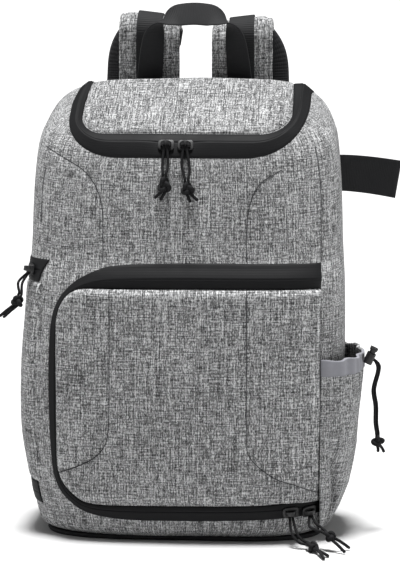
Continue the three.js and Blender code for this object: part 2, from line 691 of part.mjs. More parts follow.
// Where the pad ends and in which direction it points there.
function strapEnd(top) {
  const rows = strapRows(top);
  const end = rows[rows.length - 1].centre;
  const along = end.clone().sub(rows[rows.length - 2].centre).normalize();
  return { end, along };
}

// The adjuster: a frame with a middle bar.
function ladderLock(top) {
  const { end, along } = strapEnd(top);
  const corner = [LADDER_CORNER, LADDER_CORNER];
  const corners = [corner, corner, corner, corner];
  const frame = roundedPanel(-LADDER_WIDTH / 2, LADDER_WIDTH / 2, 0, LADDER_LENGTH, corners);
  const slotWidth = LADDER_WIDTH / 2 - LADDER_BAR;
  const slotLength = (LADDER_LENGTH - 3 * LADDER_BAR) / 2;
  for (const start of [LADDER_BAR, 2 * LADDER_BAR + slotLength]) {
    const corners = [SQUARE, SQUARE, SQUARE, SQUARE];
    frame.holes.push(roundedPanel(-slotWidth, slotWidth, start, start + slotLength, corners));
  }
  const across = X.clone().addScaledVector(along, -along.x).normalize();
  const geometry = prism(frame, across, along, -LADDER_THICKNESS / 2, LADDER_THICKNESS / 2, TRIM_STEPS);
  const place = end.clone().addScaledVector(along, SEAM_GAP);
  return geometry.translate(place.x, place.y, place.z);
}

// The webbing from the adjuster to its anchor at the bottom corner.
function strapLower(top) {
  const { end, along } = strapEnd(top);
  const start = end.clone().addScaledVector(along, LADDER_LENGTH + STRAP_LOWER_GAP);
  const rear = BODY_DEPTH / 2 + BACK_PANEL_THICKNESS + STRAP_LOWER_STANDOFF;
  const last = new THREE.Vector3(ANCHOR_X, rear, ANCHOR_TOP + SEAM_GAP);
  const rows = [0, 0.5, 1].map((share) => ({
    centre: start.clone().lerp(last, share),
    across: X.clone(),
    width: WEBBING_WIDTH,
  }));
  return sweepFlat(rows, WEBBING_THICKNESS, 0);
}

// The sewn patch that holds the lower webbing.
function strapAnchor() {
  const front = BODY_DEPTH / 2 + BACK_PANEL_THICKNESS + ANCHOR_STANDOFF;
  const shape = new THREE.Shape();
  shape.moveTo(ANCHOR_X - ANCHOR_INNER_WIDTH, ANCHOR_BOTTOM);
  shape.lineTo(ANCHOR_X + ANCHOR_OUTER_WIDTH, ANCHOR_BOTTOM);
  shape.lineTo(ANCHOR_X + ANCHOR_OUTER_WIDTH, ANCHOR_TOP);
  shape.lineTo(ANCHOR_X - ANCHOR_OUTER_WIDTH, ANCHOR_TOP);
  shape.closePath();
  return prism(shape, X, Z, -front - ANCHOR_THICKNESS, -front);
}

// The short webbing tab on the right side, drooping a little towards its end.
function sideTab() {
  const start = onBody(new THREE.Vector3(FAR, TAB_Y, TAB_TOP - TAB_WIDTH / 2), X.clone().negate()).point;
  const rows = TAB_SHARES.map((share) => ({
    centre: new THREE.Vector3(
      start.x + share * TAB_LENGTH,
      TAB_Y,
      TAB_TOP - TAB_WIDTH / 2 - TAB_DROP * Math.max(share, 0) ** TAB_DROOP_POWER,
    ),
    across: Z.clone(),
    width: TAB_WIDTH,
  }));
  return solidOf(sweepFlat(rows, WEBBING_THICKNESS, 0)).subtract(bodySolid(SEAM_GAP));
}

// Where a slider sits on its zip, and its three directions.
function sliderFrame({ from, towards, zip }) {
  const [start, direction, along] = [from, towards, zip].map((list) => new THREE.Vector3(...list));
  const { point, normal } = onBody(start, direction);
  const across = new THREE.Vector3().crossVectors(normal, along).normalize();
  const lengthwise = new THREE.Vector3().crossVectors(across, normal).normalize();
  return { place: point.clone().addScaledVector(normal, SEAM_GAP), lengthwise, across, normal };
}

// A zip slider: a plate on the zip with an arch over it for the pull's cord.
function slider({ place, lengthwise, across, normal }) {
  const nose = [SLIDER_NOSE_CORNER, SLIDER_NOSE_CORNER];
  const tail = [SLIDER_TAIL_CORNER, SLIDER_TAIL_CORNER];
  const plate = roundedPanel(
    -SLIDER_LENGTH / 2, SLIDER_LENGTH / 2, -SLIDER_WIDTH / 2, SLIDER_WIDTH / 2,
    [nose, tail, tail, nose],
  );
  const foot = SLIDER_THICKNESS / 2;
  const arch = new THREE.Shape();
  arch.absellipse(0, foot, SLIDER_ARCH_LENGTH / 2, foot + SLIDER_ARCH_HEIGHT, 0, Math.PI, false, 0);
  const hole = new THREE.Path();
  hole.absellipse(0, SLIDER_THICKNESS, SLIDER_HOLE_LENGTH / 2, SLIDER_HOLE_HEIGHT, 0, Math.PI, false, 0);
  arch.holes.push(hole);
  const half = SLIDER_ARCH_WIDTH / 2;
  const local = solidOf(prism(plate, X, Y, 0, SLIDER_THICKNESS, SLIDER_CORNER_STEPS))
    .add(solidOf(prism(arch, X, Z, -half, half, SLIDER_ARCH_STEPS)));
  const geometry = geometryOf(local);
  geometry.applyMatrix4(new THREE.Matrix4().makeBasis(lengthwise, across, normal));
  geometry.translate(place.x, place.y, place.z);
  return solidOf(geometry).subtract(bodySolid(ZIP_PROUD + SEAM_GAP));
}

// A round cord along a smooth curve through its points.
function cord(points) {
  const curve = new THREE.CatmullRomCurve3(points);
  const section = new THREE.Shape();
  section.absarc(0, 0, PULL_CORD / 2, 0, 2 * Math.PI, false);
  const steps = points.length === 2 ? 1 : Math.round(curve.getLength() / CORD_STEP);
  return new THREE.ExtrudeGeometry(section, {
    steps,
    curveSegments: PULL_SIDES_STEPS,
    bevelEnabled: false,
    extrudePath: curve,
  });
}

// The knot's middle and its directions: along it, sideways and through it.
function knotFrame(pull) {
  const middle = new THREE.Vector3(...pull.knot);
  const along = new THREE.Vector3(...pull.along).normalize();
  const side = new THREE.Vector3().crossVectors(along, new THREE.Vector3(...pull.face)).normalize();
  const through = new THREE.Vector3().crossVectors(side, along);
  return { middle, along, side, through };
}

// The two strands from what holds them, through the bends, to the knot.
// height: how far above the holder's place they pass
// out: how far they run straight, from start on one side of it to end on the other
function pullStrands(pull, { place, lengthwise, across, normal }, height, out) {
  const knot = knotFrame(pull);
  const face = new THREE.Vector3(...pull.face);
  const apart = PULL_CORD + PULL_GAP;
  const near = knot.middle.clone().addScaledVector(knot.along, -pull.long / 2 - SEAM_GAP);
  const stops = [place, ...pull.bends.map((bend) => new THREE.Vector3(bend.x, bend.y, bend.z)), near];
  return [-1, 1].map((which) => {
    const points = [-out.start, out.start, out.end].map((distance) => place.clone()
      .addScaledVector(normal, height)
      .addScaledVector(across, pull.way * distance)
      .addScaledVector(lengthwise, (pull.way * which * apart) / 2));
    pull.bends.forEach((bend, k) => {
      const path = stops[k + 2].clone().sub(stops[k]);
      const side = path.cross(face).normalize();
      points.push(stops[k + 1].clone().addScaledVector(side, (which * bend.apart) / 2));
    });
    for (const back of [PULL_CORD, 0]) {
      points.push(near.clone()
        .addScaledVector(knot.along, -back)
        .addScaledVector(knot.side, (which * apart) / 2));
    }
    return points;
  });
}

// A knot with the two short tails that come out of it.
function knotWithTails(pull) {
  const { middle, along, side, through } = knotFrame(pull);
  const ball = new THREE.SphereGeometry(0.5, KNOT_SIDES, KNOT_RINGS);
  ball.scale(pull.wide, pull.long, KNOT_THICKNESS);
  ball.applyMatrix4(new THREE.Matrix4().makeBasis(side, along, through));
  ball.translate(middle.x, middle.y, middle.z);
  let solid = solidOf(ball);
  for (const tail of pull.tails) {
    solid = solid.add(solidOf(cord([middle, new THREE.Vector3(...tail)])));
  }
  return solid;
}

// The cord lock in its own frame: +Z is the way that its button points, and the cords run along X.
const lockRound = (width, depth, radius) => {
  const corner = [radius, radius];
  return roundedPanel(-width / 2, width / 2, -depth / 2, depth / 2, [corner, corner, corner, corner]);
};
const lockTop = LOCK_LENGTH / 2;

// A passage along X for the two cords, between two heights.
function cordPassage(low, high) {
  const corners = [SQUARE, SQUARE, SQUARE, SQUARE];
  const outline = roundedPanel(-SLOT_WIDTH / 2, SLOT_WIDTH / 2, low, high, corners);
  return solidOf(prism(outline, Y, Z, -LOCK_WIDTH, LOCK_WIDTH, TRIM_STEPS));
}

function lockBarrel() {
  const outside = lockRound(LOCK_WIDTH, LOCK_DEPTH, LOCK_CORNER);
  const inside = lockRound(LOCK_WIDTH - 2 * LOCK_WALL, LOCK_DEPTH - 2 * LOCK_WALL, LOCK_BORE_CORNER);
  return solidOf(prism(outside, X, Y, -lockTop, lockTop, TRIM_STEPS))
    .subtract(solidOf(prism(inside, X, Y, LOCK_FLOOR - lockTop, LOCK_LENGTH, TRIM_STEPS)))
    .subtract(cordPassage(-SLOT_HEIGHT / 2, SLOT_HEIGHT / 2));
}

function lockButton() {
  const shaftWidth = LOCK_WIDTH - 2 * (LOCK_WALL + BUTTON_CLEARANCE);
  const shaftDepth = LOCK_DEPTH - 2 * (LOCK_WALL + BUTTON_CLEARANCE);
  const bottom = LOCK_FLOOR - lockTop + BUTTON_STROKE + BUTTON_CLEARANCE;
  const capBottom = lockTop + BUTTON_STROKE + BUTTON_CLEARANCE;
  const capWidth = LOCK_WIDTH - 2 * BUTTON_CAP_INSET;
  const capDepth = LOCK_DEPTH - 2 * BUTTON_CAP_INSET;
  const shaft = lockRound(shaftWidth, shaftDepth, BUTTON_SHAFT_CORNER);
  const cap = lockRound(capWidth, capDepth, BUTTON_CAP_CORNER);
  return solidOf(prism(shaft, X, Y, bottom, capBottom + BUTTON_CAP / 2, TRIM_STEPS))
    .add(solidOf(prism(cap, X, Y, capBottom, capBottom + BUTTON_CAP, TRIM_STEPS)))
    .subtract(cordPassage(-SLOT_HEIGHT / 2, SLOT_HEIGHT / 2 + BUTTON_STROKE));
}

const group = new THREE.Group();

function add(name, shape, color, roughness = CLOTH_ROUGHNESS, parent = group) {
  const geometry = shape.isBufferGeometry ? shape : geometryOf(shape);
  const mesh = new THREE.Mesh(geometry, new THREE.MeshStandardMaterial({ color, roughness, metalness: 0 }));
  mesh.name = name;
  parent.add(mesh);
}

add('main_shell', mainShell, CLOTH);
add('base_panel', basePanel(), COATED_BLACK);
add('back_panel', backPanel(), MESH_BLACK);
add('lid', lid, CLOTH_LIGHT);
add('lid_zip', lidZip, COATED_BLACK, COATED_ROUGHNESS);
add('front_panel', frontPanel, CLOTH_DARK);
add('front_zip', frontZip, COATED_BLACK, COATED_ROUGHNESS);
add('side_door', sideDoor, CLOTH);
add('side_zip', sideZip, COATED_BLACK, COATED_ROUGHNESS);
add('side_pocket', sidePocket, CLOTH_DARK);
add('pocket_hem', pocketHem, HEM_GREY);
add('side_tab', sideTab(), WEBBING_BLACK);
add('carry_handle', carryHandle(), WEBBING_BLACK);
for (const [word, side, top] of [['left', -1, STRAP_TOP_LEFT], ['right', 1, STRAP_TOP_RIGHT]]) {
  add(`strap_pad_${word}`, onSide(strapPad(top), side), CLOTH);
  add(`strap_webbing_${word}`, onSide(strapWebbing(top), side), WEBBING_BLACK);
  add(`strap_ladder_${word}`, onSide(ladderLock(top), side), PLASTIC_BLACK, PLASTIC_ROUGHNESS);
  add(`strap_lower_${word}`, onSide(strapLower(top), side), WEBBING_BLACK);
  add(`strap_anchor_${word}`, onSide(strapAnchor(), side), WEBBING_BLACK);
}
const sliderFrames = {};
for (const place of SLIDERS) {
  sliderFrames[place.name] = sliderFrame(place);
  add(place.name, slider(sliderFrames[place.name]), PLASTIC_BLACK, PLASTIC_ROUGHNESS);
}

function addPull(pull, frame, height, out) {
  pullStrands(pull, frame, height, out).forEach((points, k) => {
    add(`${pull.name}_${k + 1}`, cord(points), CORD_BLACK);
  });
  add(`${pull.name}_knot`, knotWithTails(pull), CORD_BLACK);
}

const underArch = SLIDER_THICKNESS + SEAM_GAP + PULL_CORD / 2;
const pastSlider = { start: SLIDER_ARCH_WIDTH / 2, end: SLIDER_WIDTH / 2 };
PULLS.forEach((pull) => addPull(pull, sliderFrames[pull.slider], underArch, pastSlider));

const hemOutside = POCKET_CENTRE_X + POCKET_REACH + HEM_PROUD + GATHER_DEPTH;
const lockPlace = new THREE.Vector3(hemOutside + LOCK_WIDTH / 2 + LOCK_STANDOFF, LOCK_Y, LOCK_Z);
const lockTilt = THREE.MathUtils.degToRad(LOCK_TILT);
const lockFrame = {
  place: lockPlace,
  lengthwise: Y.clone().negate(),
  across: X.clone().applyAxisAngle(Y, lockTilt),
  normal: Z.clone().applyAxisAngle(Y, lockTilt),
};
addPull(POCKET_PULL, lockFrame, 0, { start: LOCK_WIDTH / 4, end: LOCK_WIDTH / 2 + PULL_CORD / 2 });

const cordLock = new THREE.Group();
cordLock.position.copy(lockPlace);
cordLock.rotation.y = lockTilt;
add('cord_lock_barrel', lockBarrel(), PLASTIC_BLACK, PLASTIC_ROUGHNESS, cordLock);
add('cord_lock_button', lockButton(), PLASTIC_BLACK, PLASTIC_ROUGHNESS, cordLock);
group.add(cordLock);

export default group;
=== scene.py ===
# %% [markdown]
# # A camera backpack
#
# A soft padded bag stands on a pale floor. Its solids come packed from CAD, and this lesson dresses
# them: cloth that bulges between its seams, coated zips, cords with knots, webbing and a cord lock.
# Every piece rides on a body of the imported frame, so it moves as the CAD says.

# %% Load the frame
import math

import bmesh
import bpy
import numpy as np
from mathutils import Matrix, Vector
from mathutils.bvhtree import BVHTree


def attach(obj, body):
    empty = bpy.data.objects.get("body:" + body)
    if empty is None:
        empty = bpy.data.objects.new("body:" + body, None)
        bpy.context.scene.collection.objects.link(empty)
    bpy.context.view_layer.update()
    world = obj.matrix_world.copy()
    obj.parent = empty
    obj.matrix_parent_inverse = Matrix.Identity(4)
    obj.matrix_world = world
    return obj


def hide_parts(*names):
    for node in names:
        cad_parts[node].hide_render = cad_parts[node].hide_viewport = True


MM = 0.001
PACK = "pack"
BUTTON = "lock_button"

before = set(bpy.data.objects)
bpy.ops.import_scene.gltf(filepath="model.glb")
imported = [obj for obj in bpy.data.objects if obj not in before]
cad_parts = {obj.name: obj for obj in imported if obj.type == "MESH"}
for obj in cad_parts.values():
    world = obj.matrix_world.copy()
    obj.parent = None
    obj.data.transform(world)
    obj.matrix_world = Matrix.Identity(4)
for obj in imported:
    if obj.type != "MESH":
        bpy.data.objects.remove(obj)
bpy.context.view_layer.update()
print("nodes in the frame:", len(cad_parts))

# %% [markdown]
# ## The camera
#
# The picture was taken from far away with a long lens, a little from the right and a little from
# above, because the lid's top just shows. A camera 2.3 m away repeats that. Its sensor is fitted to
# the width, so that the tall frame keeps its scale.

# %% Camera
EYE_MM = (178.0, -2271.0, 570.0)
AIM_MM = (11.2, 0.0, 240.4)
LENS = 215.3

camera_data = bpy.data.cameras.new("long_lens")
camera_data.sensor_fit = "HORIZONTAL"
camera_data.sensor_width = 36
camera_data.lens = LENS
camera_data.clip_end = 100
camera = bpy.data.objects.new("camera", camera_data)
bpy.context.scene.collection.objects.link(camera)
camera.location = Vector(EYE_MM) * MM
camera.rotation_euler = (Vector(AIM_MM) - Vector(EYE_MM)).to_track_quat("-Z", "Y").to_euler()
bpy.context.scene.camera = camera
print("camera distance in metres:", round((camera.location - Vector(AIM_MM) * MM).length, 3))

# %% [markdown]
# ## Shader maths as Python expressions
#
# A finish is a small calculation on every point of a surface. Written with nodes it becomes a long
# chain, so one small class wraps a socket: adding or multiplying two wrapped sockets adds the Math
# node that does it. Any other node comes from one method that takes its settings and its inputs.

# %% Sockets that can be added and multiplied
class Wire:
    """One output socket of a material, with Python's operators as Math nodes."""

    def __init__(self, paint, socket):
        self.paint = paint
        self.socket = socket

    def _math(self, operation, first, second=None):
        values = [first] if second is None else [first, second]
        inputs = dict(enumerate(values))
        return self.paint.node("ShaderNodeMath", {"operation": operation}, inputs)

    def __add__(self, other):
        return self._math("ADD", self, other)

    def __radd__(self, other):
        return self._math("ADD", other, self)

    def __sub__(self, other):
        return self._math("SUBTRACT", self, other)

    def __mul__(self, other):
        return self._math("MULTIPLY", self, other)

    def sin(self):
        return self._math("SINE", self)

    def size(self):
        return self._math("ABSOLUTE", self)


class Paint:
    """A material whose nodes are added one call at a time."""

    def __init__(self, name):
        self.material = bpy.data.materials.new(name)
        self.material.use_nodes = True
        self.tree = self.material.node_tree
        self.shader = self.tree.nodes["Principled BSDF"]

    def node(self, kind, settings=None, inputs=None, output=0):
        made = self.tree.nodes.new(kind)
        for key, value in (settings or {}).items():
            if key == "stops":
                ramp = made.color_ramp
                while len(ramp.elements) < len(value):
                    ramp.elements.new(1.0)
                for element, (place, color) in zip(ramp.elements, value):
                    element.position = place
                    element.color = (*color, 1.0)
            else:
                setattr(made, key, value)
        for key, value in (inputs or {}).items():
            if isinstance(value, Wire):
                self.tree.links.new(value.socket, made.inputs[key])
            else:
                made.inputs[key].default_value = value
        return Wire(self, made.outputs[output])

    def feed(self, **sockets):
        """Sets or links the shader's own sockets, whose names are given with _ for a space."""
        for key, value in sockets.items():
            socket = self.shader.inputs[key.replace("_", " ")]
            if isinstance(value, Wire):
                self.tree.links.new(value.socket, socket)
            else:
                socket.default_value = value

    def bumped(self, height, strength, depth_mm):
        settings = {"Strength": strength, "Distance": depth_mm * MM, "Height": height}
        self.feed(Normal=self.node("ShaderNodeBump", {}, settings))

    def grain(self, place, scale, detail=2.0, roughness=0.5):
        inputs = {"Vector": place, "Scale": scale, "Detail": detail, "Roughness": roughness}
        return self.node("ShaderNodeTexNoise", {"noise_dimensions": "3D"}, inputs)

    def stretched(self, place, factors):
        inputs = {0: place, 1: factors}
        return self.node("ShaderNodeVectorMath", {"operation": "MULTIPLY"}, inputs)

    def cloth_place(self):
        """Where a point lies on the flat cloth, in millimetres: across, along and the panel's number."""
        return self.node("ShaderNodeAttribute", {"attribute_name": "cloth"}, {}, "Vector")


print("shader helpers ready")

# %% [markdown]
# ## Melange cloth
#
# The grey of this bag isn't one colour. Light and dark fibres are spun together, and each yarn is
# darker for a few centimetres and then lighter, so the weave shows short vertical slubs crossed by
# fainter level ones. It could be a woven image, but noise that is stretched along each set of yarns
# has the same look at every distance. The two sets are added, and a ramp turns the sum into greys.

# %% Melange
# squeeze across, along and from panel to panel; detail, roughness and weight of each noise
YARN_NOISES = [
    ((0.95, 0.085, 1.0), 3.0, 0.6, 1.6),  # upright yarns
    ((0.075, 0.95, 1.7), 3.0, 0.6, 1.35),  # level yarns
    ((0.85, 0.42, 2.3), 2.0, 0.7, 1.9),  # single fibres
    ((0.02, 0.012, 1.0), 2.0, 0.5, 0.15),  # slow clouds
    ((0.62, 0.016, 3.1), 1.0, 0.5, 0.7),  # long upright slubs
    ((0.014, 0.62, 4.3), 1.0, 0.5, 0.35),  # long level slubs
]
YARN_PITCH = 0.95
DARK_AT, MIDDLE_AT, LIGHT_AT, MIDDLE_SHARE = 0.08, 0.5, 0.94, 0.285


def melange(name, dark, light):
    paint = Paint(name)
    place = paint.cloth_place()
    tone = 0.5
    for squeeze, detail, roughness, weight in YARN_NOISES:
        tone = tone + (paint.grain(paint.stretched(place, squeeze), 1.0, detail, roughness) - 0.5) * weight
    middle = tuple(a + (b - a) * MIDDLE_SHARE for a, b in zip(dark, light))
    stops = [(DARK_AT, dark), (MIDDLE_AT, middle), (LIGHT_AT, light)]
    color = paint.node("ShaderNodeValToRGB", {"stops": stops}, {"Fac": tone})
    across = paint.node("ShaderNodeSeparateXYZ", {}, {0: place}, 0)
    along = paint.node("ShaderNodeSeparateXYZ", {}, {0: place}, 1)
    turn = math.pi / YARN_PITCH
    weave = (across * turn).sin().size() * (along * turn).sin().size()
    paint.feed(Base_Color=color, Roughness=0.95, Specular_IOR_Level=0.12, Sheen_Weight=0.06,
               Sheen_Roughness=0.5)
    paint.bumped(weave * 0.4 + tone * 1.1, 0.6, 0.4)
    return paint.material


CLOTH = melange("melange_cloth", (0.035, 0.0355, 0.0365), (0.66, 0.665, 0.67))
print("made", CLOTH.name, "from", len(YARN_NOISES), "noises")

# %% [markdown]
# ## Plain cloths and hard finishes
#
# The pocket's hem is a smooth bluish cloth, and the dark cloths are a coated base and an open mesh
# on the wearer's side. The coated zip tape is a satin skin over a fine rib, the webbing has cross
# ribs, and the sliders and the lock are moulded plastic with a faint grain. Each one is a few nodes.

# %% Dark cloths, webbing, coating and plastic
def ribbed(name, color, pitch, depth, roughness, lines_along=False, sheen=0.0, gloss=0.15):
    """Ribs at the given pitch in millimetres, across the piece or along it. The ribs also darken the
    colour in their grooves and lighten it on their crests, as painted shade.
    """
    paint = Paint(name)
    place = paint.cloth_place()
    across = paint.node("ShaderNodeSeparateXYZ", {}, {0: place}, 0)
    along = paint.node("ShaderNodeSeparateXYZ", {}, {0: place}, 1)
    rib = ((across if lines_along else along) * (math.pi / pitch)).sin().size()
    fine = ((along if lines_along else across) * (math.pi / (pitch * 0.8))).sin().size()
    wear = paint.grain(paint.stretched(place, (0.11, 0.09, 1.0)), 1.0, 4.0, 0.6)
    # colour: random wear tone, plus painted shade that follows the ribs, darker in the grooves and lighter
    # on the crests
    wear_and_rib_shade = wear * 0.7 + rib * 0.25 + 0.35
    stops = [(0.2, tuple(c * 0.6 for c in color)), (0.8, tuple(c * 1.5 for c in color))]
    paint.feed(
        Base_Color=paint.node("ShaderNodeValToRGB", {"stops": stops}, {"Fac": wear_and_rib_shade}),
        Roughness=wear * 0.2 + (roughness - 0.1),
    )
    paint.feed(Specular_IOR_Level=gloss, Sheen_Weight=sheen)
    paint.bumped(rib + fine * 0.3, 0.6, depth)
    return paint.material


def moulded(name, color, roughness):
    paint = Paint(name)
    place = paint.node("ShaderNodeTexCoord", {}, {}, "Object")
    speck = paint.grain(place, 2600.0, 3.0, 0.6)
    cloud = paint.grain(place, 160.0, 3.0, 0.5)
    stops = [(0.3, tuple(c * 0.8 for c in color)), (0.7, tuple(c * 1.3 for c in color))]
    paint.feed(
        Base_Color=paint.node("ShaderNodeValToRGB", {"stops": stops}, {"Fac": cloud}),
        Roughness=cloud * 0.15 + (roughness - 0.07),
    )
    paint.bumped(speck, 0.25, 0.1)
    return paint.material


HEM = ribbed("hem_cloth", (0.165, 0.166, 0.182), 1.1, 0.12, 0.85, sheen=0.1)
BASE = ribbed("base_cloth", (0.016, 0.016, 0.017), 1.4, 0.15, 0.8)
MESH = ribbed("padded_mesh", (0.014, 0.014, 0.015), 2.6, 0.5, 0.9, sheen=0.05)
COATED = ribbed("coated_zip", (0.0078, 0.0079, 0.0084), 2.3, 0.06, 0.58, lines_along=True,
                gloss=0.09)
WEBBING = ribbed("webbing", (0.0125, 0.0127, 0.0135), 1.6, 0.3, 0.7, sheen=0.03)
CORD = ribbed("pull_cord", (0.007, 0.007, 0.0076), 0.9, 0.25, 0.75)
# the seam thread is very dark: partly the thread's own colour, partly painted shade of the seam's valley
SEAM_THREAD_AND_SHADE = ribbed("seam_thread_and_shade", (0.035, 0.035, 0.037), 1.5, 0.1, 0.9)
TRIM = moulded("trim_plastic", (0.006, 0.006, 0.0066), 0.45)
LOCK = moulded("lock_plastic", (0.008, 0.008, 0.0088), 0.45)
print("made", len(bpy.data.materials), "materials")

# %% [markdown]
# ## Meshes from grids
#
# Cloth is easiest to shape as a grid of points: rows and columns follow the cut of the panel, and
# the yarns follow the grid. The helper joins an outer and an inner grid along their edges, so that
# each panel is one closed piece with a real thickness. It stores the place on the flat cloth in the
# attribute that the materials read.

# %% Grid helpers
def grid_faces(rows, cols, start=0, flip=False):
    i, j = np.meshgrid(np.arange(rows - 1), np.arange(cols - 1), indexing="ij")
    a = start + i * cols + j
    quads = np.stack([a, a + 1, a + cols + 1, a + cols], axis=-1).reshape(-1, 4)
    return quads[:, ::-1] if flip else quads


def border(rows, cols):
    """The grid's outermost points in order."""
    top = [(0, j) for j in range(cols)]
    right = [(i, cols - 1) for i in range(1, rows)]
    bottom = [(rows - 1, j) for j in range(cols - 2, -1, -1)]
    left = [(i, 0) for i in range(rows - 2, 0, -1)]
    return np.array([i * cols + j for i, j in top + right + bottom + left])


def ring_faces(levels, around, closed=False):
    """Faces between rings of points that follow each other, and back to the first if closed."""
    step = np.arange(around)
    ahead = (step + 1) % around
    faces = []
    for k in range(levels if closed else levels - 1):
        low, high = k * around, (k + 1) % levels * around
        faces += np.stack([low + step, low + ahead, high + ahead, high + step], axis=1).tolist()
    return faces


def end_faces(levels, around):
    return [list(range(around))[::-1], [(levels - 1) * around + k for k in range(around)]]


def add_mesh(name, points, faces, cloth, material):
    """A piece that rides on the pack. cloth holds each point's place on the flat cloth."""
    mesh = bpy.data.meshes.new(name)
    mesh.from_pydata((np.asarray(points) * MM).tolist(), [], [list(map(int, f)) for f in faces])
    shape = bmesh.new()
    shape.from_mesh(mesh)
    bmesh.ops.recalc_face_normals(shape, faces=shape.faces)
    shape.to_mesh(mesh)
    shape.free()
    attribute = mesh.attributes.new("cloth", "FLOAT_VECTOR", "POINT")
    attribute.data.foreach_set("vector", np.asarray(cloth, np.float32).ravel())
    mesh.polygons.foreach_set("use_smooth", [True] * len(mesh.polygons))
    mesh.materials.append(material)
    piece = bpy.data.objects.new(name, mesh)
    bpy.context.scene.collection.objects.link(piece)
    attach(piece, PACK)
    return piece


def quilt(name, outer, inner, flat, panel_number, material):
    """A closed panel between two grids of points. flat holds the places on the cloth."""
    rows, cols = outer.shape[:2]
    count = rows * cols
    points = np.concatenate([outer.reshape(-1, 3), inner.reshape(-1, 3)])
    faces = [*grid_faces(rows, cols), *grid_faces(rows, cols, count, flip=True)]
    edge = border(rows, cols)
    for a, b in zip(edge, np.roll(edge, -1)):
        faces.append([b, a, a + count, b + count])
    number = np.full((rows, cols, 1), float(panel_number))
    cloth = np.concatenate([flat, number], axis=2).reshape(-1, 3)
    return add_mesh(name, points, faces, np.concatenate([cloth, cloth]), material)


CURVE_STEPS = 30


def smooth_rows(rows, count, measured=3):
    """Rows of numbers on a smooth curve, evenly spaced by the length of their first columns."""
    rows = np.asarray(rows, float)
    padded = np.vstack([2 * rows[0] - rows[1], rows, 2 * rows[-1] - rows[-2]])
    fine = []
    for k in range(len(rows) - 1):
        p0, p1, p2, p3 = padded[k:k + 4]
        t = np.linspace(0, 1, CURVE_STEPS, endpoint=False)[:, None]
        fine.append(0.5 * (2 * p1 + (p2 - p0) * t + (2 * p0 - 5 * p1 + 4 * p2 - p3) * t ** 2
                           + (3 * p1 - p0 - 3 * p2 + p3) * t ** 3))
    return evenly(np.vstack([*fine, rows[-1:]]), count, measured)


def evenly(line, count, measured=3):
    length = line_lengths(line[:, :measured])
    wanted = np.linspace(0, length[-1], count)
    return np.stack([np.interp(wanted, length, line[:, k]) for k in range(line.shape[1])], axis=1)


def line_lengths(line):
    steps = np.linalg.norm(np.diff(line, axis=0), axis=1)
    return np.concatenate([[0.0], np.cumsum(steps)])


def bump_at(value, middle, width):
    """A smooth hump of height 1, which has fallen to 0.37 at the given width from its middle."""
    return np.exp(-((value - middle) / width) ** 2)


print("grid helpers ready")

# %% [markdown]
# ## The body's shape
#
# The bag is lofted through level sections. Each section is a rounded rectangle, rounder at the
# front, and its front and rear edges lie at different heights near the sloping top. The rows repeat
# the ones that the CAD uses. A curve through them, finer than the CAD's flat facets, gives the skin,
# and small hollows and swellings make it sag as padding does.

# %% Body rows
BODY_HEIGHT, BODY_WIDTH, BODY_DEPTH = 430.0, 300.0, 160.0
BODY_FOOT = 4.3
FRONT_ROUNDNESS, REAR_ROUNDNESS = 3.4, 5.0
# front and rear height, left and right half width, reach forward (nose) and back, as shares
BODY_ROWS = np.array([
    (0.0, 0.0, 0.87, 0.84, 0.8, 0.88),
    (0.012, 0.012, 0.94, 0.91, 0.87, 0.95),
    (0.038, 0.036, 0.968, 0.945, 0.905, 0.985),
    (0.11, 0.11, 1.01, 0.97, 0.94, 1.0),
    (0.24, 0.24, 1.055, 0.99, 0.965, 1.0),
    (0.4, 0.41, 1.05, 1.0, 0.955, 1.0),
    (0.52, 0.54, 1.028, 0.998, 0.925, 1.0),
    (0.578, 0.61, 1.012, 0.993, 0.87, 1.0),
    (0.622, 0.668, 1.003, 0.985, 0.78, 1.0),
    (0.72, 0.78, 0.987, 0.975, 0.71, 1.0),
    (0.8, 0.872, 0.968, 0.958, 0.64, 1.0),
    (0.845, 0.922, 0.945, 0.935, 0.57, 0.99),
    (0.874, 0.958, 0.905, 0.9, 0.475, 0.965),
    (0.9, 0.985, 0.835, 0.83, 0.33, 0.91),
    (0.923, 0.9985, 0.69, 0.685, 0.1, 0.78),
    (0.948, 1.0, 0.4, 0.4, -0.19, 0.56),
])
print("body rows:", len(BODY_ROWS))

# %% Body sections
RINGS, AROUND, SEARCH_PLACES, SEARCH_ANGLES = 190, 330, 1200, 4000


def body_rows(places):
    """Rows at fractional places in the table, on a smooth curve through its rows."""
    low = np.clip(np.floor(places).astype(int), 0, len(BODY_ROWS) - 2)
    t = (places - low)[:, None]
    row = [BODY_ROWS[np.clip(low + k, 0, len(BODY_ROWS) - 1)] for k in (-1, 0, 1, 2)]
    slope_a, slope_b = (row[2] - row[0]) / 2, (row[3] - row[1]) / 2
    return ((2 * t ** 3 - 3 * t ** 2 + 1) * row[1] + (t ** 3 - 2 * t ** 2 + t) * slope_a
            + (3 * t ** 2 - 2 * t ** 3) * row[2] + (t ** 3 - t ** 2) * slope_b)


def power_of(value, exponent):
    return np.sign(value) * np.abs(value) ** exponent


def body_ring(row, angles):
    front, rear, left, right, nose, back = row
    roundness = np.where(np.sin(angles) < 0, FRONT_ROUNDNESS, REAR_ROUNDNESS)
    across = power_of(np.cos(angles), 2 / roundness)
    depth = (1 + power_of(np.sin(angles), 2 / roundness)) / 2
    half = np.where(across < 0, left, right) * BODY_WIDTH / 2
    y_front, y_back = -nose * BODY_DEPTH / 2, back * BODY_DEPTH / 2
    height = front + (rear - front) * depth
    x, y = across * half, y_front + (y_back - y_front) * depth
    return np.stack([x, y, BODY_FOOT + height * (BODY_HEIGHT - BODY_FOOT)], axis=1)


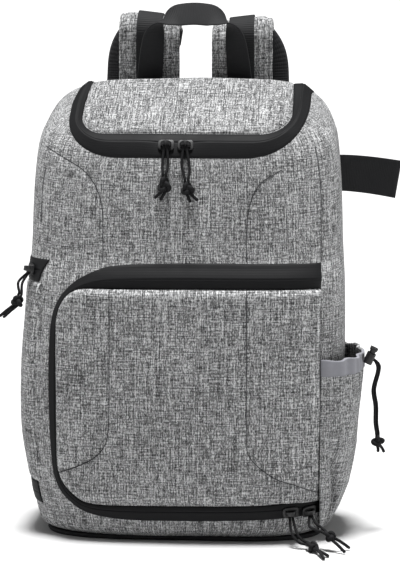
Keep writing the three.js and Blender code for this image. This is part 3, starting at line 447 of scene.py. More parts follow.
# places in the table that are equally far apart on the bag's front and back
fine_places = np.linspace(0, len(BODY_ROWS) - 1, SEARCH_PLACES)
fine_rows = body_rows(fine_places)
front_line = np.stack([fine_rows[:, 4] * BODY_DEPTH / 2, fine_rows[:, 0] * BODY_HEIGHT,
                       fine_rows[:, 2] * BODY_WIDTH / 2], axis=1)
ring_places = np.interp(np.linspace(0, 1, RINGS),
                        line_lengths(front_line) / line_lengths(front_line)[-1], fine_places)
ring_angles = np.linspace(0, 2 * math.pi, SEARCH_ANGLES, endpoint=False) + math.pi / 2
middle_ring = body_ring(BODY_ROWS[5], ring_angles)
ring_angles = np.interp(np.linspace(0, 1, AROUND, endpoint=False),
                        line_lengths(middle_ring) / line_lengths(middle_ring)[-1], ring_angles)
rings = [body_ring(row, ring_angles) for row in body_rows(ring_places)]
print("body rings:", len(rings), "points around:", len(ring_angles))

# %% [markdown]
# The top is closed by rings that shrink to the middle, and then smoothed, because a fan of long
# triangles would catch the light as a star. The seams are dragged into the skin as shallow valleys.
# Their routes are known as seen from the front, so a point's distance from them is measured there.

# %% Seams and hollows
# places that each seam passes as seen from the front, in millimetres: x, z
SEAMS = {
    "upper_left": [(-134, 371), (-116, 362), (-99, 353), (-90, 345), (-82, 333), (-77, 316),
                   (-76, 297), (-76, 267)],
    "upper_right": [(91, 352), (72, 340), (64, 327), (60, 310), (59, 290), (59, 267)],
    "side_right": [(128.3, 12), (128.3, 60), (128.3, 150), (128.3, 240), (128, 300), (127, 340),
                   (122, 372)],
    "side_left": [(-133, 352), (-136, 335), (-137, 318), (-137, 300)],
}
FLAP_SEAMS = {
    "flap_left": [(-68, 241), (-68, 190), (-68, 150), (-68.5, 122), (-70, 104), (-74, 92), (-83, 82),
                  (-98, 73.5), (-118, 65)],
    "flap_right": [(60, 241), (60.5, 190), (60.5, 130), (61, 96), (64, 85), (73, 75), (88, 64),
                   (106, 57), (127, 48)],
}


def distance_to(line, x, z):
    """How far points lie from a line of (x, z) places."""
    best = np.full(x.shape, 1e9)
    for (ax, az), (bx, bz) in zip(line[:-1], line[1:]):
        length = (bx - ax) ** 2 + (bz - az) ** 2
        share = np.clip(((x - ax) * (bx - ax) + (z - az) * (bz - az)) / length, 0, 1)
        best = np.minimum(best, np.hypot(x - ax - share * (bx - ax), z - az - share * (bz - az)))
    return best


def sag(points):
    """Slow swellings and hollows of the padding, in millimetres outwards."""
    x, y, z = points.T
    slow = np.sin(x / 37 + 1.1 * np.sin(z / 71)) * np.sin(z / 53 + 0.8 * np.sin(y / 40 + 1))
    small = np.sin(x / 17 + 2 * np.sin(z / 29)) * np.sin(z / 23 + y / 31)
    return 0.75 * slow + 0.22 * small


def seam_valley(x, z, seams, depth=1.1, width=2.4):
    valley = np.zeros(x.shape)
    for line in seams.values():
        valley = np.maximum(valley, depth * np.exp(-(distance_to(line, x, z) / width) ** 2))
    return valley


print("seams:", len(SEAMS) + len(FLAP_SEAMS))

# %% Closing the body
CAP_RINGS, CAP_RISE = 12, 1.2
SMOOTH_ABOVE, SMOOTH_ROUNDS = 385, 60

last = rings[-1]
middle = last.mean(axis=0)
for share in np.linspace(1, 0, CAP_RINGS + 2)[1:-1]:
    ring = middle + (last - middle) * share
    ring[:, 2] += CAP_RISE * (1 - share ** 2)
    rings.append(ring)
rings.insert(0, rings[0] * [0.5, 0.5, 1])
skin_points = np.concatenate(rings)
cap_low = len(skin_points)
skin_points = np.vstack([skin_points, rings[0].mean(axis=0), middle + [0, 0, CAP_RISE]])
skin_faces = ring_faces(len(rings), AROUND)
top_ring = (len(rings) - 1) * AROUND
for k in range(AROUND):
    skin_faces.append([k, cap_low, (k + 1) % AROUND])
    skin_faces.append([top_ring + k, top_ring + (k + 1) % AROUND, cap_low + 1])


def smoothed(points, faces, moving, rounds):
    """Moves the chosen points towards the middle of their neighbours, a few times."""
    edges = {tuple(sorted(pair)) for face in faces for pair in zip(face, face[1:] + face[:1])}
    edges = np.array(sorted(edges))
    count = np.bincount(edges.ravel(), minlength=len(points))[:, None]
    for _ in range(rounds):
        total = np.zeros_like(points)
        np.add.at(total, edges[:, 0], points[edges[:, 1]])
        np.add.at(total, edges[:, 1], points[edges[:, 0]])
        points = np.where(moving[:, None], 0.5 * points + 0.5 * total / count, points)
    return points


skin_points = smoothed(skin_points, skin_faces, skin_points[:, 2] > SMOOTH_ABOVE, SMOOTH_ROUNDS)
print("skin points:", len(skin_points), "faces:", len(skin_faces))

# %% [markdown]
# Panels, zips and threads all lie on this skin. So it is kept as a search tree that a straight line
# can be shot at. The tree gives back where the line meets the skin and which way it faces there.

# %% A skin that panels can be laid on
# millimetres from which a line starts outside the bag
FAR = 300.0


class Skin:
    """A surface that points are projected on, with smooth normals."""

    def __init__(self, points, faces):
        self.points = points
        triangles = []
        for face in faces:
            triangles.append((face[0], face[1], face[2]))
            if len(face) == 4:
                triangles.append((face[0], face[2], face[3]))
        self.triangles = np.array(triangles)
        corners = points[self.triangles]
        across = np.cross(corners[:, 1] - corners[:, 0], corners[:, 2] - corners[:, 0])
        normals = np.zeros_like(points)
        for k in range(3):
            np.add.at(normals, self.triangles[:, k], across)
        self.normals = normals / np.maximum(np.linalg.norm(normals, axis=1, keepdims=True), 1e-9)
        outwards = np.einsum("ij,ij->i", self.normals, points - points.mean(axis=0)).mean()
        if outwards < 0:
            self.normals = -self.normals
        self.tree = BVHTree.FromPolygons(points.tolist(), self.triangles.tolist())

    def cast(self, origins, direction):
        """Where lines from the origins first meet the skin, and its normals there."""
        shape = origins.shape[:-1]
        places, normals = [], []
        towards = Vector(direction).normalized()
        for origin in origins.reshape(-1, 3):
            hit, _, index, _ = self.tree.ray_cast(Vector(origin), towards)
            if hit is None:
                hit, _, index, _ = self.tree.find_nearest(Vector(origin) + towards * FAR)
            corner = self.triangles[index]
            a, b, c = self.points[corner]
            place = np.array(hit)
            areas = np.array([np.linalg.norm(np.cross(p - place, q - place))
                              for p, q in ((b, c), (c, a), (a, b))])
            normal = (self.normals[corner] * areas[:, None]).sum(axis=0)
            places.append(place)
            normals.append(normal / max(np.linalg.norm(normal), 1e-9))
        return np.array(places).reshape(*shape, 3), np.array(normals).reshape(*shape, 3)


print("skin helper ready")

# %% Body cloth
CLOTH_TALL, CLOTH_AROUND = 560, 880

plain = Skin(skin_points, skin_faces)
facing_front = np.clip(-plain.normals[:, 1] * 2, 0, 1)
valley = seam_valley(skin_points[:, 0], skin_points[:, 2], SEAMS) * facing_front
skin_points = skin_points + plain.normals * (sag(skin_points) - valley)[:, None]
skin = Skin(skin_points, skin_faces)
heights = np.repeat(np.linspace(0, CLOTH_TALL, len(rings)), AROUND)
around_mm = np.tile(np.linspace(0, CLOTH_AROUND, AROUND, endpoint=False), len(rings))
cloth = np.stack([around_mm, heights, np.zeros_like(heights)], axis=1)
cloth = np.vstack([cloth, [0, 0, 0], [0, CLOTH_TALL, 0]])
body_piece = add_mesh("body_cloth", skin_points, skin_faces, cloth, CLOTH)
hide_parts("main_shell")
print("body cloth:", len(body_piece.data.polygons), "faces")

# %% [markdown]
# ## The pull cords
#
# Each zip slider carries a doubled black cord that passes under its arch and ends in a knot with two
# short tails. The cord lock's cord is the same. The stops repeat the CAD's.

# %% Cord stops
CORD_THICK = 2.6
INTO_KNOT = 4.0
# stops in millimetres from the holder to the knot, for each of the two strands
STRANDS = {
    "lid_pull_left": (
        [(-16.2, -42.9, 377.5), (-16.2, -45, 374), (-16.2, -46.5, 371.5), (-14.9, -51.4, 357),
         (-16.5, -55.9, 349.1), (-16.5, -56.2, 346.5)],
        [(-19.2, -42.9, 377.4), (-19.2, -45, 374), (-19.2, -46.5, 371.5), (-20.3, -51.4, 357),
         (-19.5, -55.9, 349.1), (-19.5, -56.2, 346.5)],
    ),
    "lid_pull_right": (
        [(2, -43.1, 377.4), (2, -45.1, 374), (2, -46.7, 371.5), (4.7, -51.2, 358.3),
         (5.4, -54.2, 349.3), (4.2, -56.7, 344.3), (4.5, -56.9, 341.7)],
        [(-1, -43.1, 377.5), (-1, -45.2, 374), (-1, -46.7, 371.5), (-2.3, -51.2, 357.7),
         (-0.2, -54.2, 348.7), (1.2, -56.7, 343.9), (1.5, -56.9, 341.3)],
    ),
    "side_pull": (
        [(-148.9, -38.9, 257.6), (-149.6, -38.9, 253.6), (-150.1, -38.9, 250.7),
         (-154.5, -44.5, 242.6), (-154.7, -48.1, 233.3), (-155.5, -48.1, 230.9)],
        [(-150, -36.1, 257.7), (-150.6, -36.1, 253.8), (-151.2, -36.1, 250.9),
         (-158.5, -42.5, 243.4), (-157.2, -46.9, 234.2), (-158.1, -46.9, 231.8)],
    ),
    "front_pull_a": (
        [(103.8, -70.1, 31.7), (104, -69.6, 27.7), (104.1, -69.3, 24.7), (108.2, -82.9, 14.4),
         (113.3, -86.8, 8.5), (119, -88.3, 6.2), (120.3, -90.5, 6.1)],
        [(100.9, -70.7, 31.4), (101.1, -70.2, 27.5), (101.2, -69.9, 24.5), (103.8, -84.1, 13.6),
         (110.7, -89.2, 6.7), (116.5, -89.7, 5.1), (117.8, -91.9, 5)],
    ),
    "front_pull_b": (
        [(121.6, -62, 31.7), (121.8, -61.3, 27.7), (121.9, -60.8, 24.8), (126.7, -82.6, 22.9),
         (130.6, -85, 21.1), (133, -87.7, 19.4), (135, -89, 18.3)],
        [(119.1, -63.7, 31.2), (119.3, -63, 27.3), (119.5, -62.4, 24.4), (120.3, -84.4, 21.1),
         (127.4, -88, 18.1), (131, -89.3, 17.8), (133, -90.6, 16.7)],
    ),
    "pocket_cord": (
        [(172.7, -7.5, 169.4), (176.6, -7.5, 167.6), (179.7, -7.5, 166.2), (184.2, -8.2, 161.5),
         (183.7, -8.4, 153.8), (180.1, -8.9, 137.9), (182.2, -8.9, 122.1), (182.4, -8.9, 106.1),
         (183.7, -9.3, 97), (184, -9.3, 94.4)],
        [(172.7, -10.5, 169.4), (176.6, -10.5, 167.6), (179.7, -10.5, 166.2), (182.2, -10.2, 160.5),
         (181.7, -10.4, 154.2), (177.9, -11.1, 138.1), (180, -11.1, 121.9), (180.2, -11.1, 105.9),
         (181.6, -11.5, 96.8), (181.8, -11.5, 94.2)],
    ),
}
print("cords:", len(STRANDS))

# %% Knot places
# the knots: middle, direction along the knot, where its flat side faces, length, width, tails' ends
KNOTS = {
    "lid_pull_left": ((-18, -57.2, 338), (0, -0.12, -1), (0, -1, 0), 16.5, 13,
                      [(-27.2, -57.4, 326.2), (-21.5, -57.6, 324.3)]),
    "lid_pull_right": ((3.8, -57.6, 334.8), (0.12, -0.1, -1), (0, -1, 0), 13, 13,
                       [(6.5, -58.2, 322.5), (13.5, -58, 324)]),
    "side_pull": ((-158.8, -47.5, 225.6), (-0.35, 0, -1), (-0.5, -1, 0), 11.5, 13,
                  [(-176, -48, 211), (-172.5, -48, 210)]),
    "front_pull_a": ((123.2, -98.4, 5.2), (0.5, -0.86, -0.04), (0, -0.6, 0.8), 16, 10,
                     [(139, -119, 1.8), (135, -129, 1.8)]),
    "front_pull_b": ((139.4, -93.4, 14.2), (0.75, -0.5, -0.45), (0, -0.7, 0.7), 14, 10,
                     [(154, -105, 1.8), (158, -89, 2)]),
    "pocket_cord": ((183.4, -10.4, 88), (0.08, 0, -1), (1, -1, 0), 12, 13,
                    [(183.6, -11, 77.5), (189.5, -11, 77)]),
}
KNOT_THICK, KNOT_TURN, KNOT_CORE, TAIL_RADIUS = 8.5, 2.1, 3.3, 1.5
# the knot's loop is divided by about its own reach to the side, along and through
LOOP_REACH = [2.6, 2.9, 1.0]
print("knots:", len(KNOTS))

# %% [markdown]
# A knot could be a lump, but close up the eye looks for the turns. An overhand knot is a trefoil, and
# its curve has a short formula. A tube along that curve, squeezed to the knot's size and filled with
# a core, reads as tied cord. The tails are two more tubes.

# %% Round tubes
def tube(line, radius, sides=14, closed=False):
    """Points and faces of a round tube along a line of points. radius may vary along it."""
    line = np.asarray(line, float)
    count = len(line)
    if closed:
        ahead = np.roll(line, -1, axis=0) - np.roll(line, 1, axis=0)
    else:
        ahead = np.gradient(line, axis=0)
    ahead /= np.linalg.norm(ahead, axis=1, keepdims=True)
    side = np.cross(ahead[0], [0.3, 0.5, 0.81])
    sides_of, ups = [], []
    for tangent in ahead:
        side = side - tangent * np.dot(side, tangent)
        side /= np.linalg.norm(side)
        sides_of.append(side)
        ups.append(np.cross(tangent, side))
    angle = np.linspace(0, 2 * math.pi, sides, endpoint=False)
    radius = np.broadcast_to(radius, (count,))[:, None, None]
    ring = (np.array(sides_of)[:, None] * np.cos(angle)[None, :, None]
            + np.array(ups)[:, None] * np.sin(angle)[None, :, None]) * radius
    points = (line[:, None] + ring).reshape(-1, 3)
    faces = ring_faces(count, sides, closed)
    return points, faces if closed else faces + end_faces(count, sides)


def merged(parts):
    points, faces, start = [], [], 0
    for place, face in parts:
        points.append(place)
        faces += [[start + k for k in corner] for corner in face]
        start += len(place)
    return np.concatenate(points), faces


print("tube helpers ready")

# %% Knots
def knot_mesh(name, middle, along, face, long, wide, tails):
    """An overhand knot pulled tight: a trefoil that is squeezed to the knot's size, and its tails."""
    middle, along, face = (np.array(v, float) for v in (middle, along, face))
    along /= np.linalg.norm(along)
    side = np.cross(along, face)
    side /= np.linalg.norm(side)
    through = np.cross(side, along)
    t = np.linspace(0, 2 * math.pi, 110, endpoint=False)
    loop = np.stack([np.sin(t) + 2 * np.sin(2 * t), np.cos(t) - 2 * np.cos(2 * t),
                     -np.sin(3 * t)], axis=1)
    reach = [wide / 2 - KNOT_TURN, long / 2 - KNOT_TURN, KNOT_THICK / 2 - KNOT_TURN * 0.8]
    loop = loop / LOOP_REACH * reach
    placed = middle + loop @ np.array([side, along, through])
    core = middle + np.linspace(-0.36, 0.36, 9)[:, None] * long * along
    bulge = np.sqrt(np.clip(1 - np.linspace(-1, 1, 9) ** 2, 0.06, 1))
    parts = [tube(placed, KNOT_TURN, 12, closed=True), tube(core, KNOT_CORE * bulge, 14)]
    for which, end in zip((-1, 1), tails):
        end = np.array(end, float)
        start = middle + along * long * 0.3 + side * which * -1.5
        bend = (start + end) / 2 + through * 0.8
        radius = np.full(14, TAIL_RADIUS)
        radius[-1] *= 0.75
        parts.append(tube(smooth_rows([start, bend, end], 14), radius, 12))
    points, faces = merged(parts)
    length = np.linspace(0, 60, len(points))
    cloth_at = np.stack([length * 0, length, length * 0], axis=1)
    return add_mesh(name, points, faces, cloth_at, CORD)


print("knot helper ready")

# %% [markdown]
# A strand is a curve with a round bevel, so it keeps its thickness in every bend. Each one runs a few
# millimetres on into its knot.

# %% Strands
for pull, strands in STRANDS.items():
    knot = knot_mesh(f"{pull}_tied_knot", *KNOTS[pull])
    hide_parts(f"{pull}_knot")
    knot_middle = np.array(KNOTS[pull][0])
    for which, stops in enumerate(strands, start=1):
        inwards = knot_middle - np.array(stops[-1])
        end = np.array(stops[-1]) + inwards / np.linalg.norm(inwards) * INTO_KNOT
        line = smooth_rows([*stops, end], 36)
        curve = bpy.data.curves.new(f"{pull}_strand_{which}", "CURVE")
        curve.dimensions = "3D"
        curve.bevel_depth = CORD_THICK / 2 * MM
        curve.bevel_resolution = 3
        curve.use_fill_caps = True
        spline = curve.splines.new("POLY")
        spline.points.add(len(line) - 1)
        for point, place in zip(spline.points, line * MM):
            point.co = (*place, 1)
        curve.materials.append(CORD)
        strand = bpy.data.objects.new(f"{pull}_strand_{which}", curve)
        bpy.context.scene.collection.objects.link(strand)
        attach(strand, PACK)
        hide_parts(f"{pull}_{which}")

# %% [markdown]
# ## Panels and bands on the skin
#
# The lid, the flap of the lower compartment and the side door are padded panels, and the zips run
# round them as wide coated bands. Both are cut flat and laid on the bag. So each starts as a flat
# outline, and every point of it is dropped on the skin and raised by its padding. A panel's edge
# rolls down to its seam, and a band has a low ridge with a fine groove where its two halves meet.

# %% Dropping flat outlines on the skin
TILT = math.sqrt(0.5)


def on_front(flat):
    """From a place (x, z) seen from the front."""
    origins = np.stack([flat[..., 0], np.full(flat.shape[:-1], -FAR), flat[..., 1]], axis=-1)
    return skin.cast(origins, (0, 1, 0))


def on_left(flat):
    """From a place (y, z) seen from the left."""
    origins = np.stack([np.full(flat.shape[:-1], -FAR), flat[..., 0], flat[..., 1]], axis=-1)
    return skin.cast(origins, (1, 0, 0))


def on_slope(flat):
    """From a place (x, s) seen from the front and above, where s runs up the slope."""
    s = flat[..., 1] * TILT
    origins = np.stack([flat[..., 0], s - FAR * TILT, s + FAR * TILT], axis=-1)
    return skin.cast(origins, (0, TILT, -TILT))


def slope_place(x, z):
    """The slope coordinate of the skin's point that is seen at (x, z) from the front."""
    place, _ = on_front(np.array([[x, z]], float))
    return (place[0, 1] + place[0, 2]) * TILT


print("projections ready")

# %% Padded panels
PANEL_DEPTH, EDGE_SUNK = 2.5, 0.8


def outline_distance(flat, outline):
    closed = [*map(tuple, outline), tuple(outline[0])]
    return distance_to(closed, flat[..., 0], flat[..., 1])


def rolled(distance, radius):
    """From 0 at a panel's edge to 1 where its padding is flat, as a quarter circle."""
    inward = np.clip(distance / radius, 0, 1)
    return np.sqrt(1 - (1 - inward) ** 2)


def even_columns(low, high, low_corner, high_corner, step):
    """Places between two ends, closer together in a rounded corner."""
    turn = np.linspace(0, math.pi / 2, 15)
    start = low + low_corner * (1 - np.cos(turn)) if low_corner else np.array([low, low + 0.7])
    end = high - high_corner * (1 - np.cos(turn[::-1])) if high_corner else np.array([high - 0.7, high])
    count = max(2, round((end[0] - start[-1]) / step))
    return np.concatenate([start, np.linspace(start[-1], end[0], count + 1)[1:-1], end])


def corner_rise(place, low, high, low_size, high_size):
    """How far an edge is drawn in by the rounded corners at its ends."""
    rise = np.zeros(place.shape)
    for towards, (wide, tall) in ((place - low, low_size), (high - place, high_size)):
        if wide:
            inward = np.clip(1 - towards / wide, 0, 1)
            rise = np.maximum(rise, tall * (1 - np.sqrt(1 - inward ** 2)))
    return rise


def ruled(low, high, step):
    """A grid between two matched lines, finer near them."""
    span = np.linalg.norm(high - low, axis=1).max()
    count = max(8, round(span / step))
    share = np.linspace(0, 1, count + 1)
    near = np.array([0.5, 1.2, 2.2]) / span
    share = np.unique(np.concatenate([share, near, 1 - near]))
    return low[None] + (high - low)[None] * share[:, None, None]


def cut(columns, low, high, step):
    """A panel's grid between a low and a high edge that are given at the same columns."""
    return ruled(np.stack([columns, low], axis=1), np.stack([columns, high], axis=1), step)


def panel(name, node, grid, cast, number, proud, radius, relief):
    """A padded panel on the skin. relief gives its own swellings from the flat places."""
    outline = grid.reshape(-1, 2)[border(*grid.shape[:2])]
    place, normal = cast(grid)
    edge = rolled(outline_distance(grid, outline), radius)
    height = -EDGE_SUNK + (proud + EDGE_SUNK) * edge + relief(grid[..., 0], grid[..., 1]) * edge
    outer = place + normal * height[..., None]
    inner = place - normal * PANEL_DEPTH
    piece = quilt(name, outer, inner, grid, number, CLOTH)
    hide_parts(node)
    print(name, "faces:", len(piece.data.polygons))
    return piece


print("panel helpers ready")

# %% [markdown]
# The flap of the lower compartment stands proud. Two stitched seams run down it and turn outwards
# near the bottom, where darts give the corners their shape.

# %% Lower flap
FLAP = {"left": -120.0, "right": 127.7, "bottom": 38.3, "top": 241.7}
FLAP_LOW_CORNER, FLAP_HIGH_CORNER, SQUARE = (34.0, 38.0), (28.0, 35.0), (0, 0)
FLAP_STEP = 1.8

columns = even_columns(FLAP["left"], FLAP["right"], FLAP_LOW_CORNER[0], 0, FLAP_STEP)
flap_low = FLAP["bottom"] + corner_rise(columns, FLAP["left"], FLAP["right"], FLAP_LOW_CORNER, SQUARE)
flap_high = FLAP["top"] - corner_rise(columns, FLAP["left"], FLAP["right"], FLAP_HIGH_CORNER, SQUARE)
flap_grid = cut(columns, flap_low, flap_high, FLAP_STEP)


def flap_relief(x, z):
    up = np.clip((z - 38) / 204, 0, 1)
    belly = 2.4 * np.cos(np.clip(x / 150, -1, 1) * math.pi / 2) * np.sin(up * math.pi)
    lip = 2.2 * bump_at(z, 236, 9)
    waves = 0.5 * np.sin(x / 13 + z / 40) * bump_at(z, 60, 26) + 0.4 * np.sin(z / 11 + x / 60)
    return belly + lip + waves - seam_valley(x, z, FLAP_SEAMS, depth=1.5, width=2.0)


flap_piece = panel("lower_flap", "front_panel", flap_grid, on_front, 30, 6.0, 8.0, flap_relief)

# %% [markdown]
# The side door is the same kind of panel, seen from the left. It is flatter, because it only closes
# a way in to the side of the bag, so a low padding and a soft edge are enough.

# %% Side door
DOOR = {"front": -54.0, "rear": 29.7, "bottom": 52.3, "top": 243.7}
DOOR_CORNER, DOOR_STEP = (20.0, 24.0), 2.4

columns = even_columns(DOOR["front"], DOOR["rear"], 0, DOOR_CORNER[0], DOOR_STEP)
drawn_in = corner_rise(columns, DOOR["front"], DOOR["rear"], SQUARE, DOOR_CORNER)
door_grid = cut(columns, DOOR["bottom"] + drawn_in, DOOR["top"] - drawn_in, DOOR_STEP)


def door_relief(y, z):
    return 0.5 * np.sin(z / 31 + 1) * np.sin(y / 19) + 0.6 * bump_at(z, 150, 70)


panel("side_door_cloth", "side_door", door_grid, on_left, 60, 2.0, 5.0, door_relief)

# %% [markdown]
# The lid slopes back from the zip and turns over the top edge to its hinge. Seen from the front and
# above, the slope and the top are both in sight, so the lid is laid on the skin from there.

# %% Lid
LID_LOW_Z, LID_HINGE_Y, LID_COLUMN_STEP, LID_STEP = 384.3, 61.7, 2.0, 1.8
LID_LEFT, LID_LEFT_CORNER, LID_RIGHT, LID_RIGHT_CORNER = -100.2, (22.0, 14.0), 98.6, (30.0, 18.0)
columns = even_columns(LID_LEFT, LID_RIGHT, LID_LEFT_CORNER[0], LID_RIGHT_CORNER[0],
                       LID_COLUMN_STEP)
lid_low_z = LID_LOW_Z + corner_rise(columns, LID_LEFT, LID_RIGHT, LID_LEFT_CORNER, LID_RIGHT_CORNER)
lid_low = np.array([[x, slope_place(x, z)] for x, z in zip(columns, lid_low_z)])
hinge, _ = skin.cast(np.stack([columns, np.full(columns.shape, LID_HINGE_Y),
                               np.full(columns.shape, FAR * 2)], axis=1), (0, 0, -1))
lid_high = np.stack([columns, (hinge[:, 1] + hinge[:, 2]) * TILT], axis=1)
lid_grid = ruled(lid_low, lid_high, LID_STEP)


def lid_relief(x, s):
    up = np.clip((s - lid_low[:, 1].min()) / 90, 0, 1)
    crown = 2.0 * np.cos(np.clip(x / 118, -1, 1) * math.pi / 2) * np.sin(up * math.pi)
    return crown + 0.45 * np.sin(x / 19 + 1.5 * up) * np.sin(s / 13 + x / 50)


panel("lid_cloth", "lid", lid_grid, on_slope, 90, 1.6, 5.0, lid_relief)

# %% [markdown]
# ## Zip bands
#
# The zips are the coated kind whose two tape edges meet over hidden teeth. Each band is a strip
# between two outlines that are cut at the same places.

# %% Outlines of the bands
def corner_line(middle, wide, tall, start_angle, end_angle, count=22):
    angle = np.radians(np.linspace(start_angle, end_angle, count))
    return np.stack([middle[0] + wide * np.cos(angle), middle[1] + tall * np.sin(angle)], axis=1)


def straight(a, b, count):
    return np.linspace(a, b, count)


def c_outline(open_end, closed_end, bottom, top, low_corner, high_corner, counts):
    """Along the top to the closed end, round it and back along the bottom."""
    inward = 1 if open_end > closed_end else -1
    high = (closed_end + inward * high_corner[0], top - high_corner[1])
    low = (closed_end + inward * low_corner[0], bottom + low_corner[1])
    turn = (90, 180, 270) if inward > 0 else (90, 0, -90)
    return np.concatenate([
        straight((open_end, top), (high[0], top), counts[0])[:-1],
        corner_line(high, *high_corner, turn[0], turn[1])[:-1],
        straight((closed_end, high[1]), (closed_end, low[1]), counts[1])[:-1],
        corner_line(low, *low_corner, turn[1], turn[2])[:-1],
        straight((low[0], bottom), (open_end, bottom), counts[2]),
    ])


print("outline helpers ready")

# %% Coated bands
BAND_DEPTH = 2.2
NEAR_GROOVE = np.array([-0.05, -0.02, 0, 0.02, 0.05])


def band(name, node, inner, outer, cast, meeting, ridge, number):
    """A coated band. meeting: share from the inner edge where its halves meet; ridge: height there."""
    across = np.unique(np.concatenate([np.linspace(0, 1, 15), meeting + NEAR_GROOVE]))
    grid = inner[:, None] + (outer - inner)[:, None] * across[None, :, None]
    place, normal = cast(grid)
    width = np.linalg.norm(outer - inner, axis=1)[:, None]
    share = across[None] * np.ones((len(inner), 1))
    rise = np.where(share < meeting, share / meeting, (1 - share) / (1 - meeting))
    edge = rolled(np.minimum(share, 1 - share) * width, 1.6)
    height_at = ridge(grid) if callable(ridge) else ridge
    groove = 0.75 * bump_at((share - meeting) * width, 0, 0.55)
    height = 0.1 + 0.7 * edge + height_at * rise ** 1.25 - groove
    outer_grid = place + normal * height[..., None]
    inner_grid = place - normal * BAND_DEPTH
    along = line_lengths((inner + outer) / 2)[:, None] * np.ones(across.shape)
    flat = np.stack([share * width, along], axis=-1)
    piece = quilt(name, outer_grid, inner_grid, flat, number, COATED)
    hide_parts(node)
    print(name, "faces:", len(piece.data.polygons), "length in mm:", round(float(along.max()), 1))


print("band helper ready")

# %% [markdown]
# The front zip is a C round the flap: wide along the top, where it lies on the flap's ledge, and
# narrow down the left side. No simple outline has that shape. So matched places on its two edges are
# listed, and a smooth curve runs through them. Under the sliders the ridge goes flat.

# %% Front zip
# matched places of the front zip's two edges: outer x, outer z, inner x, inner z
FRONT_ZIP_STATIONS = [
    (127.7, 265.2, 127.7, 242.0), (60, 265.5, 60, 242.2), (-2, 265.7, -2, 242.3),
    (-58.6, 263.4, -58.6, 241.8),
    (-80.2, 258.8, -79.5, 241.2), (-98.1, 250.2, -91.5, 239.6), (-107, 243.4, -99.5, 236.6),
    (-114.3, 235.4, -105.6, 231.9), (-120, 226, -110.8, 226), (-123.8, 215, -113.4, 218),
    (-126.6, 196.3, -115.6, 202), (-127.9, 158, -116.7, 160), (-127.6, 120, -116.9, 120),
    (-126.4, 87, -116.7, 88), (-124.4, 66, -115.8, 70), (-121.5, 55.1, -114.6, 59),
    (-117, 46, -110.3, 50.4), (-110.6, 38.8, -104.4, 43.8), (-97.8, 29.3, -94.4, 37.4),
    (-78.8, 23.8, -78, 35.2), (-47.3, 21, -47.3, 35.2), (16.3, 21, 16.3, 35.8), (73.1, 22.6, 73.1, 37),
    (105, 24.4, 105, 39.4), (127.7, 26.4, 127.7, 41.5),
]
stations = smooth_rows(FRONT_ZIP_STATIONS, 330, measured=4)
front_outer, front_inner = stations[:, :2], stations[:, 2:]
FRONT_SLIDER_X = (101.5, 118.0)


def front_ridge(grid):
    beside = sum(bump_at(grid[..., 0], x, 13) for x in FRONT_SLIDER_X) * (grid[..., 1] < 60)
    high = np.clip((grid[..., 1] - 200) / 30, 0, 1)
    return 0.4 + (0.6 + 2.2 * high) * (1 - np.clip(beside, 0, 1))


band("front_zip_band", "front_zip", front_inner, front_outer, on_front, 0.36, front_ridge, 120)

# %% [markdown]
# The side zip is a plain C round the door, with the same width everywhere.

# %% Side zip
SIDE_OPEN_END, SIDE_COUNTS = -47.7, (46, 90, 46)
SIDE_INNER_CORNER, SIDE_OUTER_CORNER = (20, 24), (42, 46)

side_inner = c_outline(SIDE_OPEN_END, 30.3, 51.7, 244.3, SIDE_INNER_CORNER, SIDE_INNER_CORNER, SIDE_COUNTS)
side_outer = c_outline(SIDE_OPEN_END, 51.7, 30.3, 265.7, SIDE_OUTER_CORNER, SIDE_OUTER_CORNER, SIDE_COUNTS)
band("side_zip_band", "side_zip", side_inner, side_outer, on_left, 0.5, 0.5, 150)

# %% [markdown]
# The lid zip runs round the lid's low edge and up both sides to the hinge. Its outline is laid out
# on the slope, as the lid's is.

# %% Lid zip
# for each side, the band's inner and outer edge: half width, height of the bottom, corner's width and
# height, and how far the edge is drawn outwards at the hinge
LID_SIDES = {
    "left": [(100.7, 384, 22, 14, -6), (113.6, 362.4, 50, 36, -6)],
    "right": [(99.1, 384, 30, 18, -1), (116, 362.4, 60, 50, 3)],
}
LID_SLIDER_X = (-17.7, 0.5)
CORNER_STOPS, FLAT_STOPS, SIDE_STOPS = 26, 90, 40
SHOULDER_Z = 408.0


def lid_outline(sign, half, bottom, wide, tall, drawn):
    """From the bottom's middle up one side to the hinge, as places (x, s) on the slope."""
    flat = [(x, bottom) for x in np.linspace(0, half - wide, FLAT_STOPS // 2)[:-1]]
    flat += [tuple(p) for p in corner_line((half - wide, bottom + tall), wide, tall, -90, 0, CORNER_STOPS)]
    flat += [(half, z) for z in np.linspace(bottom + tall, max(SHOULDER_Z, bottom + tall + 4), 8)[1:]]
    line = [(sign * x, slope_place(sign * x, z)) for x, z in flat]
    last_s = line[-1][1]
    top, _ = skin.cast(np.array([[sign * (half + drawn), LID_HINGE_Y, FAR * 2]]), (0, 0, -1))
    hinge_s = (top[0, 1] + top[0, 2]) * TILT
    for share in np.linspace(0, 1, SIDE_STOPS)[1:]:
        line.append((sign * (half + drawn * share ** 1.4), last_s + (hinge_s - last_s) * share))
    return np.array(line)


lid_edges = []
for which in (0, 1):
    left = lid_outline(-1, *LID_SIDES["left"][which])
    right = lid_outline(1, *LID_SIDES["right"][which])
    lid_edges.append(np.concatenate([left[::-1][:-1], right]))


def lid_ridge(grid):
    beside = sum(bump_at(grid[..., 0], x, 13) for x in LID_SLIDER_X)
    return 0.5 + 2.6 * (1 - np.clip(beside, 0, 1))


band("lid_zip_band", "lid_zip", lid_edges[0], lid_edges[1], on_slope, 0.42, lid_ridge, 180)

# %% [markdown]
# ## Stitched seams
#
# Every seam is a valley in the cloth with a line of dark thread at its bottom, and the thread's dark
# colour is partly its own and partly painted shade of the valley. The thread is a thin tube that lies
# on the finished surface, found by looking at it from the front.

# %% Seam threads
THREAD_RADIUS = 0.42


